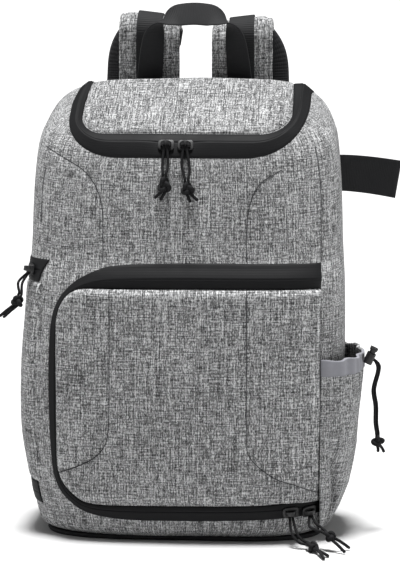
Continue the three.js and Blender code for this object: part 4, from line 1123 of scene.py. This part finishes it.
def lay_threads(name, piece, seams):
    mesh = piece.data
    places = np.empty(len(mesh.vertices) * 3)
    mesh.vertices.foreach_get("co", places)
    tree = BVHTree.FromPolygons((places.reshape(-1, 3) / MM).tolist(),
                                [list(p.vertices) for p in mesh.polygons])
    parts = []
    for line in seams.values():
        flat = smooth_rows(line, 140, measured=2)
        hits = [tree.ray_cast(Vector((x, -FAR, z)), Vector((0, 1, 0))) for x, z in flat]
        on_cloth = np.array([hit[0] + hit[1] * 0.05 for hit in hits if hit[0] is not None])
        parts.append(tube(on_cloth, THREAD_RADIUS, 8))
    points, faces = merged(parts)
    # the thread tubes carry a dark colour that stands partly for painted shade in the seam's valley
    add_mesh(name, points, faces, points, SEAM_THREAD_AND_SHADE)
    print(name, "seams:", len(parts))


lay_threads("body_seam_thread", body_piece, SEAMS)
lay_threads("flap_seam_thread", flap_piece, FLAP_SEAMS)

# %% [markdown]
# ## The side pocket
#
# The pocket is a single layer of the grey cloth, sewn along the front seam and at the back, gathered
# by a cord in its bluish hem and wide at the top. It is lofted like the body. Each level section is
# kept where it lies outside the bag, and folds run down from the gathers and up from the seam.

# %% Pocket sizes
POCKET_FOOT, POCKET_TALL = 6.0, 168.0
POCKET_MIDDLE, POCKET_REACH, POCKET_HALF_DEPTH = 112.0, 55.5, 63.0
POCKET_SEAM_X, POCKET_LEVELS, POCKET_AROUND = 128.8, 100, 150
SKIN_GAP = 0.3
# height, reach to the side, depth, gathering, all as shares
POCKET_ROWS = np.array([(0, 0.4, 0.86, 0), (0.045, 0.52, 0.93, 0.2), (0.12, 0.64, 0.97, 0.2),
                        (0.26, 0.8, 1, 0.15), (0.48, 0.92, 1.01, 0.15), (0.72, 0.985, 1, 0.3),
                        (0.89, 1, 0.985, 0.8), (1, 0.99, 0.97, 1)])
right_y = np.linspace(-78, 78, 60)
right_z = np.linspace(4, 200, 50)
side_grid = np.stack(np.meshgrid(right_y, right_z, indexing="ij"), axis=-1)
origins = np.stack([np.full(side_grid.shape[:2], FAR), side_grid[..., 0], side_grid[..., 1]], axis=-1)
right_side_x = skin.cast(origins, (-1, 0, 0))[0][..., 0]


def side_x(y, z):
    """How far right the skin reaches at the given places, read between the cast lines."""
    i = np.clip((y - right_y[0]) / (right_y[1] - right_y[0]), 0, len(right_y) - 1.001)
    j = np.clip((z - right_z[0]) / (right_z[1] - right_z[0]), 0, len(right_z) - 1.001)
    a, b = i.astype(int), j.astype(int)
    s, t = i - a, j - b
    return ((1 - s) * ((1 - t) * right_side_x[a, b] + t * right_side_x[a, b + 1])
            + s * ((1 - t) * right_side_x[a + 1, b] + t * right_side_x[a + 1, b + 1]))


print("skin's reach beside the pocket in mm:", round(float(right_side_x.max()), 1))

# %% Pocket folds and sections
# creases: depth, angle round the pocket, height there, slant, width, middle and height of its run
CREASES = [(10.0, -0.88, 58, 0.34, 6.4, 54, 38), (3.0, -0.5, 88, 0.7, 6, 88, 30)]
MM_PER_TURN = 60


def pocket_folds(angle, share, z):
    """Gathers under the hem, slack between the hem and the foot, and the slanting creases."""
    folds = 0.9 * np.cos(26 * angle + 2 * np.sin(3 * angle)) * bump_at(share, 0.93, 0.16)
    for depth, at, level, slant, width, run_middle, run_tall in CREASES:
        beside = (angle - at) * MM_PER_TURN + (z - level) * slant
        folds = folds - depth * bump_at(beside, 0, width) * bump_at(z, run_middle, run_tall)
    return folds + 0.9 * np.sin(angle * 5 + share * 7) * np.sin(share * math.pi)


def pocket_line(share, grow):
    """One level section of the pocket outside the bag, from the front seam to the rear one."""
    reach, deep, gather = (np.interp(share, POCKET_ROWS[:, 0], POCKET_ROWS[:, k]) for k in (1, 2, 3))
    angle = np.linspace(-0.98 * math.pi / 2, 0.98 * math.pi / 2, 700)
    z = POCKET_FOOT + share * POCKET_TALL
    ripple = np.cos(12 * angle) * 1.1 * gather + pocket_folds(angle, share, z)
    across, along = (power_of(f(angle), 2 / 2.7) for f in (np.cos, np.sin))
    x = POCKET_MIDDLE + across * (reach * POCKET_REACH + grow + ripple)
    y = along * (deep * POCKET_HALF_DEPTH + grow + ripple * 0.8)
    outside = (x > side_x(y, np.full(y.shape, z)) + SKIN_GAP) & ((y > 0) | (x > POCKET_SEAM_X))
    keep = np.flatnonzero(outside)
    line = np.stack([x, y, np.full(x.shape, z)], axis=1)[keep[0]:keep[-1] + 1]
    return evenly(line, POCKET_AROUND)


print("pocket sections ready")

# %% Pocket cloth and hem
HEM_TALL, HEM_LEVELS, HEM_LAP = 15.0, 14, 0.004


def pocket_piece(name, node, shares, grow, thickness, number, material, rim=0.0):
    lines = np.array([pocket_line(share, grow) for share in shares])
    inner = np.array([pocket_line(share, grow - thickness) for share in shares])
    along = np.linspace(0, 1, POCKET_AROUND)
    up = (shares - shares[0]) / (shares[-1] - shares[0])
    lift = rim * np.sin(along * 31 + 1) * np.clip(up, 0, 1)[:, None]
    lines[..., 2] += lift
    inner[..., 2] += lift
    flat = np.stack([np.ones((len(shares), 1)) * along * 175, shares[:, None] * POCKET_TALL
                     * np.ones((1, POCKET_AROUND))], axis=-1)
    piece = quilt(name, lines, inner, flat, number, material)
    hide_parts(node)
    print(name, "faces:", len(piece.data.polygons))
    return piece


hem_from = 1 - HEM_TALL / POCKET_TALL
wall_shares = np.linspace(0, hem_from + HEM_LAP, POCKET_LEVELS)
wall_piece = pocket_piece("pocket_cloth", "side_pocket", wall_shares, 0.0, 1.6, 210, CLOTH)
hem_shares = np.linspace(hem_from, 1, HEM_LEVELS)
hem_piece = pocket_piece("pocket_hem_cloth", "pocket_hem", hem_shares, 1.0, 3.0, 240, HEM,
                         rim=0.8)

# %% [markdown]
# Inside, the pocket has a dark lining. Only the front of the hem is the smooth cloth: further back
# the rim is the grey cloth itself. One piece can carry several finishes, if each face says which.

# %% Lining and rim
HEM_ENDS = 0.6


def face_kinds(piece, rows, outer_kind, inner_kind, materials):
    """Gives the outer faces and the rim one kind, and the inner faces another, by share round."""
    cols = POCKET_AROUND
    for material in materials:
        piece.data.materials.append(material)
    kinds = np.zeros(len(piece.data.polygons), int)
    half = (rows - 1) * (cols - 1)
    share = (np.arange(half) % (cols - 1)) / (cols - 2)
    kinds[:half] = outer_kind(share)
    kinds[half:2 * half] = inner_kind(share)
    rim = 2 * half + cols + rows - 2
    kinds[rim:rim + cols - 1] = outer_kind(share)[:cols - 1][::-1]
    piece.data.polygons.foreach_set("material_index", kinds.tolist())
    print(piece.name, "finishes:", len(piece.data.materials))


face_kinds(wall_piece, POCKET_LEVELS, lambda share: share * 0, lambda share: share * 0 + 1, [BASE])
face_kinds(hem_piece, HEM_LEVELS, lambda share: np.where(share > HEM_ENDS, 1, 0),
           lambda share: np.where(share > HEM_ENDS, 1, 2), [CLOTH, BASE])

# %% [markdown]
# ## Ribbons and padded straps
#
# Webbing and straps are flat sections that are carried along a line while they turn. One function
# makes them all: it takes the line, the direction of the width at each place, the section's outline
# and how wide it is, and joins the sections.

# %% Sweeping a section
def flat_section(width, thickness, points=44, squareness=5.0):
    angle = np.linspace(0, 2 * math.pi, points, endpoint=False)
    u = power_of(np.cos(angle), 2 / squareness) * width / 2
    v = power_of(np.sin(angle), 2 / squareness) * thickness / 2
    return np.stack([u, v], axis=1)


def ribbon(name, centres, across, section_at, number, material):
    """section_at(share) gives the section's (u, v) points at a share of the length."""
    ahead = np.gradient(centres, axis=0)
    ahead /= np.linalg.norm(ahead, axis=1, keepdims=True)
    across = across - ahead * np.einsum("ij,ij->i", across, ahead)[:, None]
    across /= np.linalg.norm(across, axis=1, keepdims=True)
    normal = np.cross(across, ahead)
    lengths = line_lengths(centres)
    points, cloth_at = [], []
    for k, centre in enumerate(centres):
        section = section_at(lengths[k] / lengths[-1])
        points.append(centre + section[:, :1] * across[k] + section[:, 1:] * normal[k])
        cloth_at.append(np.stack([section[:, 0], np.full(len(section), lengths[k]),
                                  np.full(len(section), float(number))], axis=1))
    count = len(points[0])
    faces = ring_faces(len(points), count) + end_faces(len(points), count)
    return add_mesh(name, np.concatenate(points), faces, np.concatenate(cloth_at), material)


print("ribbon helpers ready")

# %% [markdown]
# The grab handle is one length of webbing, sewn flat at both ends. It twists as it rises, so that
# its outer edge comes forward and the top lies with its face up.

# %% Grab handle
HANDLE_HALF, HANDLE_HIGH, HANDLE_FOOT, HANDLE_Y = 45.0, 504.0, 394.3, 81.3
WEB_WIDTH, WEB_THICK = 25.0, 2.0
# in, up and lean as shares, and the direction of the width
HANDLE_ROWS = [
    (0, 0, 0, 1, 0, 0), (0, 0.19, 0, 1, 0, 0), (0.02, 0.34, 0.02, 0.95, 0.28, 0),
    (0.07, 0.56, 0.11, 0.87, 0.48, 0), (0.11, 0.69, 0.2, 0.76, 0.65, -0.03),
    (0.165, 0.765, 0.26, 0.56, 0.83, -0.04), (0.26, 0.815, 0.3, 0.28, 0.95, 0.06),
    (0.42, 0.852, 0.31, 0.06, 0.86, 0.5), (0.62, 0.884, 0.27, 0, 0.62, 0.79),
    (0.82, 0.896, 0.23, 0, 0.56, 0.83), (1, 0.9, 0.21, 0, 0.55, 0.835),
]
left_half = [(-HANDLE_HALF * (1 - inward), HANDLE_Y - lean * WEB_WIDTH,
              HANDLE_FOOT + up * (HANDLE_HIGH - HANDLE_FOOT), wx, wy, wz)
             for inward, up, lean, wx, wy, wz in HANDLE_ROWS]
right_half = [(-x, y, z, -wx, wy, wz) for x, y, z, wx, wy, wz in left_half[-2::-1]]
handle_rows = smooth_rows(left_half + right_half, 170)
handle = ribbon("grab_handle", handle_rows[:, :3], handle_rows[:, 3:],
                lambda share: flat_section(WEB_WIDTH, WEB_THICK, 52, 7.0), 270, WEBBING)
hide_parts("carry_handle")
print("handle length in mm:", round(float(line_lengths(handle_rows[:, :3])[-1]), 1))

# %% [markdown]
# The tab on the right is a wider piece of the same webbing. Its free end is folded and stitched,
# and it droops a little.

# %% Side tab
TAB_LONG, TAB_WIDE, TAB_DROP, TAB_HIGH, TAB_BACK = 55.0, 35.0, 6.0, 360.0, 30.0
tab_z = TAB_HIGH - TAB_WIDE / 2
tab_hit, _ = skin.cast(np.array([[FAR, TAB_BACK, tab_z]]), (-1, 0, 0))
tab_root = tab_hit[0, 0]
tab_shares = np.linspace(-0.06, 1, 60)
tab_line = np.stack([
    tab_root + tab_shares * TAB_LONG,
    TAB_BACK + 1.2 * np.sin(tab_shares * 4),
    tab_z - TAB_DROP * np.clip(tab_shares, 0, 1) ** 1.5,
], axis=1)


def tab_section(share):
    folded = 1.0 * bump_at(share, 0.95, 0.055) * (share < 0.985)
    stitched = -0.5 * (bump_at(share, 0.84, 0.008) + bump_at(share, 0.885, 0.008))
    width = TAB_WIDE * (1 + 0.05 * np.clip(share, 0, 1))
    return flat_section(width, WEB_THICK + folded + stitched, 56, 8.0)


tab = ribbon("webbing_tab", tab_line, np.tile([0.0, 0.0, 1.0], (len(tab_line), 1)), tab_section,
             300, WEBBING)
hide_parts("side_tab")
print("tab root x in mm:", round(float(tab_root), 1))

# %% [markdown]
# The shoulder straps are pads: grey cloth outside and open mesh towards the wearer. Each rises from
# the back panel, turns over and hangs down behind the bag to its adjuster. Its line is a straight
# rise, half a circle and a slowly spreading fall.

# %% Strap sizes and line
STRAP = {"x": 46.0, "wide": 60.0, "low_wide": 44.0, "thick": 12.0, "bend": 16.0, "root": 372.0,
         "end": 150.0}
STRAP_TOPS = {"left": 492.0, "right": 488.0}
STRAP_STATIONS = 230
WALL_Y = 88.9
# share of the way down, shift outwards, distance behind the back panel, share of the narrowing
STRAP_ROWS = [(0.06, 13, 38, 0), (0.16, 16, 36, 0), (0.34, 22, 31, 0.15), (0.57, 32, 24, 0.5),
              (0.8, 41, 18, 0.9), (1, 46, 14, 1)]


def strap_line(top, root):
    rise = WALL_Y + STRAP["thick"] / 2
    bend_z = top - STRAP["thick"] / 2 - STRAP["bend"]
    rows = [(STRAP["x"], rise, z, 0) for z in np.linspace(root, bend_z, 5)[:-1]]
    for angle in np.linspace(math.pi, 0, 9):
        rows.append((STRAP["x"], rise + STRAP["bend"] * (1 + math.cos(angle)),
                     bend_z + STRAP["bend"] * math.sin(angle), 0))
    for down, out, back, narrow in STRAP_ROWS:
        rows.append((STRAP["x"] + out, WALL_Y + back, bend_z + (STRAP["end"] - bend_z) * down, narrow))
    return smooth_rows(rows, STRAP_STATIONS)


print("strap line ready")

# %% Strap pads
MESH_EDGE_FROM = 0.3
PAD_SIDE_POINTS, PAD_EDGE = 34, 1.2


def pad_section(width):
    """A crowned outer side, a flatter inner side and a thin bound edge."""
    u = np.linspace(-1, 1, PAD_SIDE_POINTS)
    crown = np.sqrt(np.clip(1 - np.abs(u) ** 3.2, 0, 1))
    padding = STRAP["thick"] / 2 - PAD_EDGE
    sewn = 0.66 * (bump_at(u, -0.47, 0.035) + bump_at(u, 0.47, 0.035))
    outer = PAD_EDGE + padding * crown - sewn - 1.6 * bump_at(np.abs(u), 0.86, 0.045)
    inner = -PAD_EDGE - padding * crown ** 1.2
    upper = np.stack([u * width / 2, outer], axis=1)
    lower = np.stack([u[::-1] * width / 2, inner[::-1]], axis=1)
    return np.concatenate([upper, lower])


def strap_pad(side_name, centres, across, widths):
    stations = line_lengths(centres) / line_lengths(centres)[-1]
    pad = ribbon(f"strap_{side_name}", centres, across,
                 lambda share: pad_section(np.interp(share, stations, widths)),
                 330, CLOTH)
    pad.data.materials.append(MESH)
    count = 2 * PAD_SIDE_POINTS
    face = np.arange((len(centres) - 1) * count)
    around, station = face % count, face // count
    inner_side = (around >= count // 2 + 1) & (around < count - 2)
    mesh_edge = (around < 2) | (around >= count // 2 - 2)
    kinds = np.zeros(len(pad.data.polygons), int)
    kinds[:len(face)] = inner_side | (mesh_edge & (station > MESH_EDGE_FROM * len(centres)))
    pad.data.polygons.foreach_set("material_index", kinds.tolist())
    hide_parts(f"strap_pad_{side_name}")
    print(side_name, "strap faces:", len(pad.data.polygons))


# %% [markdown]
# A webbing runs up the middle of each pad's outer side, and a tail of it runs from the adjuster to
# the patch at the bag's lower corner. Both use the handle's section.

# %% Straps with their webbing
TAPE_ROOT, LADDER_LONG, LADDER_GAP, TAIL_END, TAIL_POINTS = 397.0, 26.0, 1.2, (96.0, 92.0, 53.3), 40
PAD_WOBBLE, PAD_TURN, TAIL_SAG = 0.6, 0.12, 2.0
TAPE_OUT = STRAP["thick"] / 2 + WEB_THICK / 2 + 0.1


def web_section(share):
    return flat_section(WEB_WIDTH, WEB_THICK, 44, 7.0)


for side_name, sign in (("left", -1), ("right", 1)):
    rows = strap_line(STRAP_TOPS[side_name], STRAP["root"])
    centres = rows[:, :3] * [sign, 1, 1]
    wobble = PAD_WOBBLE * np.sin(np.linspace(0, 17, len(rows))) * np.linspace(0, 1, len(rows))
    centres[:, 1] += wobble
    widths = STRAP["wide"] + (STRAP["low_wide"] - STRAP["wide"]) * rows[:, 3]
    across = np.tile([1.0, 0.0, sign * PAD_TURN], (len(rows), 1))
    strap_pad(side_name, centres, across, widths)

    tape_centres = strap_line(STRAP_TOPS[side_name], TAPE_ROOT)[:, :3] * [sign, 1, 1]
    tape_centres[:, 1] += wobble
    tape = ribbon(f"strap_tape_{side_name}", tape_centres, across,
                  lambda share: web_section(share) + [0, TAPE_OUT], 360, WEBBING)
    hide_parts(f"strap_webbing_{side_name}")

    ahead = (centres[-1] - centres[-6]) / np.linalg.norm(centres[-1] - centres[-6])
    tail_start = centres[-1] + ahead * (LADDER_LONG + LADDER_GAP)
    tail_end = np.array(TAIL_END) * [sign, 1, 1]
    down = np.linspace(0, 1, TAIL_POINTS)
    tail_line = tail_start + (tail_end - tail_start) * down[:, None]
    tail_line[:, 1] += TAIL_SAG * np.sin(down * math.pi)
    tail = ribbon(f"strap_tail_{side_name}", tail_line, np.tile([1.0, 0, 0], (TAIL_POINTS, 1)),
                  web_section, 390, WEBBING)
    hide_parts(f"strap_lower_{side_name}")
    print(side_name, "tail length in mm:", round(float(line_lengths(tail_line)[-1]), 1))

# %% [markdown]
# ## The wearer's side and the base
#
# The back panel is a padded mesh with two long ribs and a hollow down the spine, where air can pass.
# It isn't seen in the picture, so it has the plain form that such a panel usually has. It is one
# grid: the channels are sunk into it as smooth humps with their sign turned.

# %% Back panel
BACK = {"half": 118.0, "bottom": 22.0, "top": 394.0, "y": 80.3, "thick": 8.0}
BACK_CORNER, BACK_STEP, BACK_EDGE, BACK_ROLL = (30.0, 30.0), 3.0, 1.5, 12
SPINE_SUNK, RIB_SUNK, RIB_X, CROSS_SUNK, PIPING_SUNK, THINNEST = 2.6, 1.8, 62, 1.6, 1.4, 1.2
CROSS_LEVELS, CROSS_RISE = (120, 220, 320), 0.22

columns = even_columns(-BACK["half"], BACK["half"], BACK_CORNER[0], BACK_CORNER[0], BACK_STEP)
drawn_in = corner_rise(columns, -BACK["half"], BACK["half"], BACK_CORNER, BACK_CORNER)
back_grid = cut(columns, BACK["bottom"] + drawn_in, BACK["top"] - drawn_in, BACK_STEP)
back_outline = back_grid.reshape(-1, 2)[border(*back_grid.shape[:2])]
from_edge = outline_distance(back_grid, back_outline)
x, z = back_grid[..., 0], back_grid[..., 1]
beside_spine = np.abs(x) > 12
channels = SPINE_SUNK * bump_at(x, 0, 9) + RIB_SUNK * bump_at(np.abs(x), RIB_X, 3.4) * (from_edge > 12)
level = z + np.abs(x) * CROSS_RISE
cross = CROSS_SUNK * sum(bump_at(level, middle, 3.2) for middle in CROSS_LEVELS) * beside_spine
piping = PIPING_SUNK * bump_at(from_edge, 8, 2)
padding = (BACK["thick"] - BACK_EDGE) * rolled(from_edge, BACK_ROLL)
thick = np.maximum(BACK_EDGE + padding - channels - cross - piping, THINNEST)
outer = np.stack([x, BACK["y"] + thick, z], axis=-1)
inner = np.stack([x, np.full(x.shape, BACK["y"]), z], axis=-1)
back_piece = quilt("back_pad", outer, inner, back_grid, 420, MESH)
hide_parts("back_panel")
print("back panel faces:", len(back_piece.data.polygons))

# %% [markdown]
# The straps' tails are sewn under small patches at the panel's lower corners. A patch is a flat quilt
# whose low edge runs further out, and a line of stitching is pressed in round it.

# %% Strap anchors
ANCHOR_X, ANCHOR_STEP, ANCHOR_FOOT_Y = 96.0, 1.2, 88.6
# for the low and the high edge: inner end, outer end and height
ANCHOR_LOW, ANCHOR_HIGH = (-22.5, 13.5, 24.0), (-13.5, 13.5, 53.0)


def anchor_edge(start, end, height, count=20):
    return np.stack([np.linspace(start, end, count), np.full(count, height)], axis=1)


for side_name, sign in (("left", -1), ("right", 1)):
    grid = ruled(anchor_edge(*ANCHOR_LOW), anchor_edge(*ANCHOR_HIGH), ANCHOR_STEP)
    from_edge = outline_distance(grid, grid.reshape(-1, 2)[border(*grid.shape[:2])])
    height = 1.0 + 1.0 * rolled(from_edge, 1.4) - 0.5 * bump_at(from_edge, 3.2, 0.7)
    x = sign * (grid[..., 0] + ANCHOR_X)
    outer = np.stack([x, WALL_Y + height, grid[..., 1]], axis=-1)
    inner = np.stack([x, np.full(x.shape, ANCHOR_FOOT_Y), grid[..., 1]], axis=-1)
    patch = quilt(f"anchor_patch_{side_name}", outer, inner, grid, 450, WEBBING)
    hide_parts(f"strap_anchor_{side_name}")
    print(patch.name, "faces:", len(patch.data.polygons))

# %% [markdown]
# The base is a dark coated cloth that shows as a thin line under the bag. It is the body's second
# section again, set back a little and lofted through a few levels with a rolled edge.

# %% Base
# share of the body's section, how far it is set back, height
BASE_LEVELS = [(0.3, 0, 0), (1, 6.0, 0), (1, 5.4, 0.35), (1, 4.8, 1.4), (1, 4.8, 2.6), (1, 5.2, 3.6),
               (1, 6.1, 4.0), (0.3, 0, 4.0)]
base_ring = body_ring(BODY_ROWS[1], ring_angles)[:, :2]
outwards = base_ring / np.linalg.norm(base_ring, axis=1, keepdims=True)
base_points = np.concatenate([
    np.column_stack([base_ring * share - outwards * set_back, np.full(AROUND, float(height))])
    for share, set_back, height in BASE_LEVELS
])
base_faces = ring_faces(len(BASE_LEVELS), AROUND) + end_faces(len(BASE_LEVELS), AROUND)
base_piece = add_mesh("base_cloth_piece", base_points, base_faces, base_points, BASE)
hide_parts("base_panel")
print("base faces:", len(base_piece.data.polygons))

# %% [markdown]
# ## Sliders, adjusters and the cord lock
#
# These are small moulded parts, and the CAD's shapes are right. A copy of each gets its edges
# rounded by a bevel, which catches the light as a real moulding does. The lock's button rides on
# its own body, so it still slides when it is pressed.

# %% Moulded parts
SLIDERS = ["lid_slider_left", "lid_slider_right", "side_slider", "front_slider_a", "front_slider_b"]
# node, material, the record's slot, body, rounding in millimetres
MOULDED = [(name, TRIM, "trim_plastic", PACK, 0.35) for name in SLIDERS]
MOULDED += [(f"strap_ladder_{side}", TRIM, "trim_plastic", PACK, 0.9) for side in ("left", "right")]
MOULDED += [("cord_lock_barrel", LOCK, "lock_plastic", PACK, 0.35),
            ("cord_lock_button", LOCK, "lock_plastic", BUTTON, 0.35)]
FLAT_WITHIN, SHARP_ABOVE = math.radians(1), math.radians(38)


def clean_copy(node, material):
    """The CAD solid's mesh with its flat triangles joined, so that only real edges are rounded."""
    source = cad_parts[node]
    source = bpy.data.objects[source] if isinstance(source, str) else source
    mesh = source.data.copy()
    mesh.materials.clear()
    mesh.materials.append(material)
    shape = bmesh.new()
    shape.from_mesh(mesh)
    bmesh.ops.remove_doubles(shape, verts=shape.verts, dist=1e-6)
    bmesh.ops.dissolve_limit(shape, angle_limit=FLAT_WITHIN, verts=shape.verts, edges=shape.edges)
    shape.to_mesh(mesh)
    shape.free()
    mesh.polygons.foreach_set("use_smooth", [True] * len(mesh.polygons))
    return mesh


for node, material, slot, body, width in MOULDED:
    piece = bpy.data.objects.new(f"{node}_moulded", clean_copy(node, material))
    bpy.context.scene.collection.objects.link(piece)
    rounding = piece.modifiers.new("rounding", "BEVEL")
    rounding.width = width * MM
    rounding.segments = 3
    rounding.limit_method = "ANGLE"
    rounding.angle_limit = SHARP_ABOVE
    rounding.harden_normals = False
    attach(piece, body)
    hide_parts(node)
print("moulded parts:", len(MOULDED))

# %% [markdown]
# ## Light and floor
#
# The picture has a white ground and soft light from above and from both sides, so the lid is the
# lightest face and the bag's outer edges are pale. A wide sun overhead and a lamp at each side do
# that, and the pale floor throws light up on the front.

# %% Lamps
BAG_MIDDLE = Vector((0, 0, 0.22))


def aimed(made, place):
    made.location = place
    made.rotation_euler = (BAG_MIDDLE - Vector(place)).to_track_quat("-Z", "Y").to_euler()
    bpy.context.scene.collection.objects.link(made)
    return made


def lamp(name, place, power):
    data = bpy.data.lights.new(name, "AREA")
    data.shape = "RECTANGLE"
    data.size, data.size_y = LAMP_SIZE
    data.energy = power
    return aimed(bpy.data.objects.new(name, data), place)


SUN_STRENGTH, SUN_WIDTH, LAMP_SIZE, WORLD_STRENGTH = 6.2, 16.0, (0.7, 1.2), 0.08
sun = bpy.data.lights.new("overhead", "SUN")
sun.energy = SUN_STRENGTH
sun.angle = math.radians(SUN_WIDTH)
aimed(bpy.data.objects.new("overhead", sun), (0.0, -0.02, 3.0))
lamp("left_side", (-1.6, 0.1, 0.5), 5)
lamp("right_side", (1.6, 0.0, 0.5), 5.4)

world = bpy.data.worlds.new("pale")
world.use_nodes = True
background = world.node_tree.nodes["Background"]
background.inputs["Color"].default_value = (1, 1, 1, 1)
background.inputs["Strength"].default_value = WORLD_STRENGTH
bpy.context.scene.world = world
bpy.context.scene.view_settings.view_transform = "Standard"
print("lamps:", len(bpy.data.lights))

# %% Floor
HALF_FLOOR = 60.0
FLOOR_GREY = 0.64

floor_mesh = bpy.data.meshes.new("floor")
floor_mesh.from_pydata([(-HALF_FLOOR, -HALF_FLOOR, 0), (HALF_FLOOR, -HALF_FLOOR, 0),
                        (HALF_FLOOR, HALF_FLOOR, 0), (-HALF_FLOOR, HALF_FLOOR, 0)], [], [(0, 1, 2, 3)])
floor = bpy.data.objects.new("floor", floor_mesh)
bpy.context.scene.collection.objects.link(floor)
floor_paint = Paint("pale_floor")
floor_paint.feed(Base_Color=(FLOOR_GREY, FLOOR_GREY, FLOOR_GREY, 1), Roughness=0.9)
floor_mesh.materials.append(floor_paint.material)
print("floor half width in metres:", HALF_FLOOR)
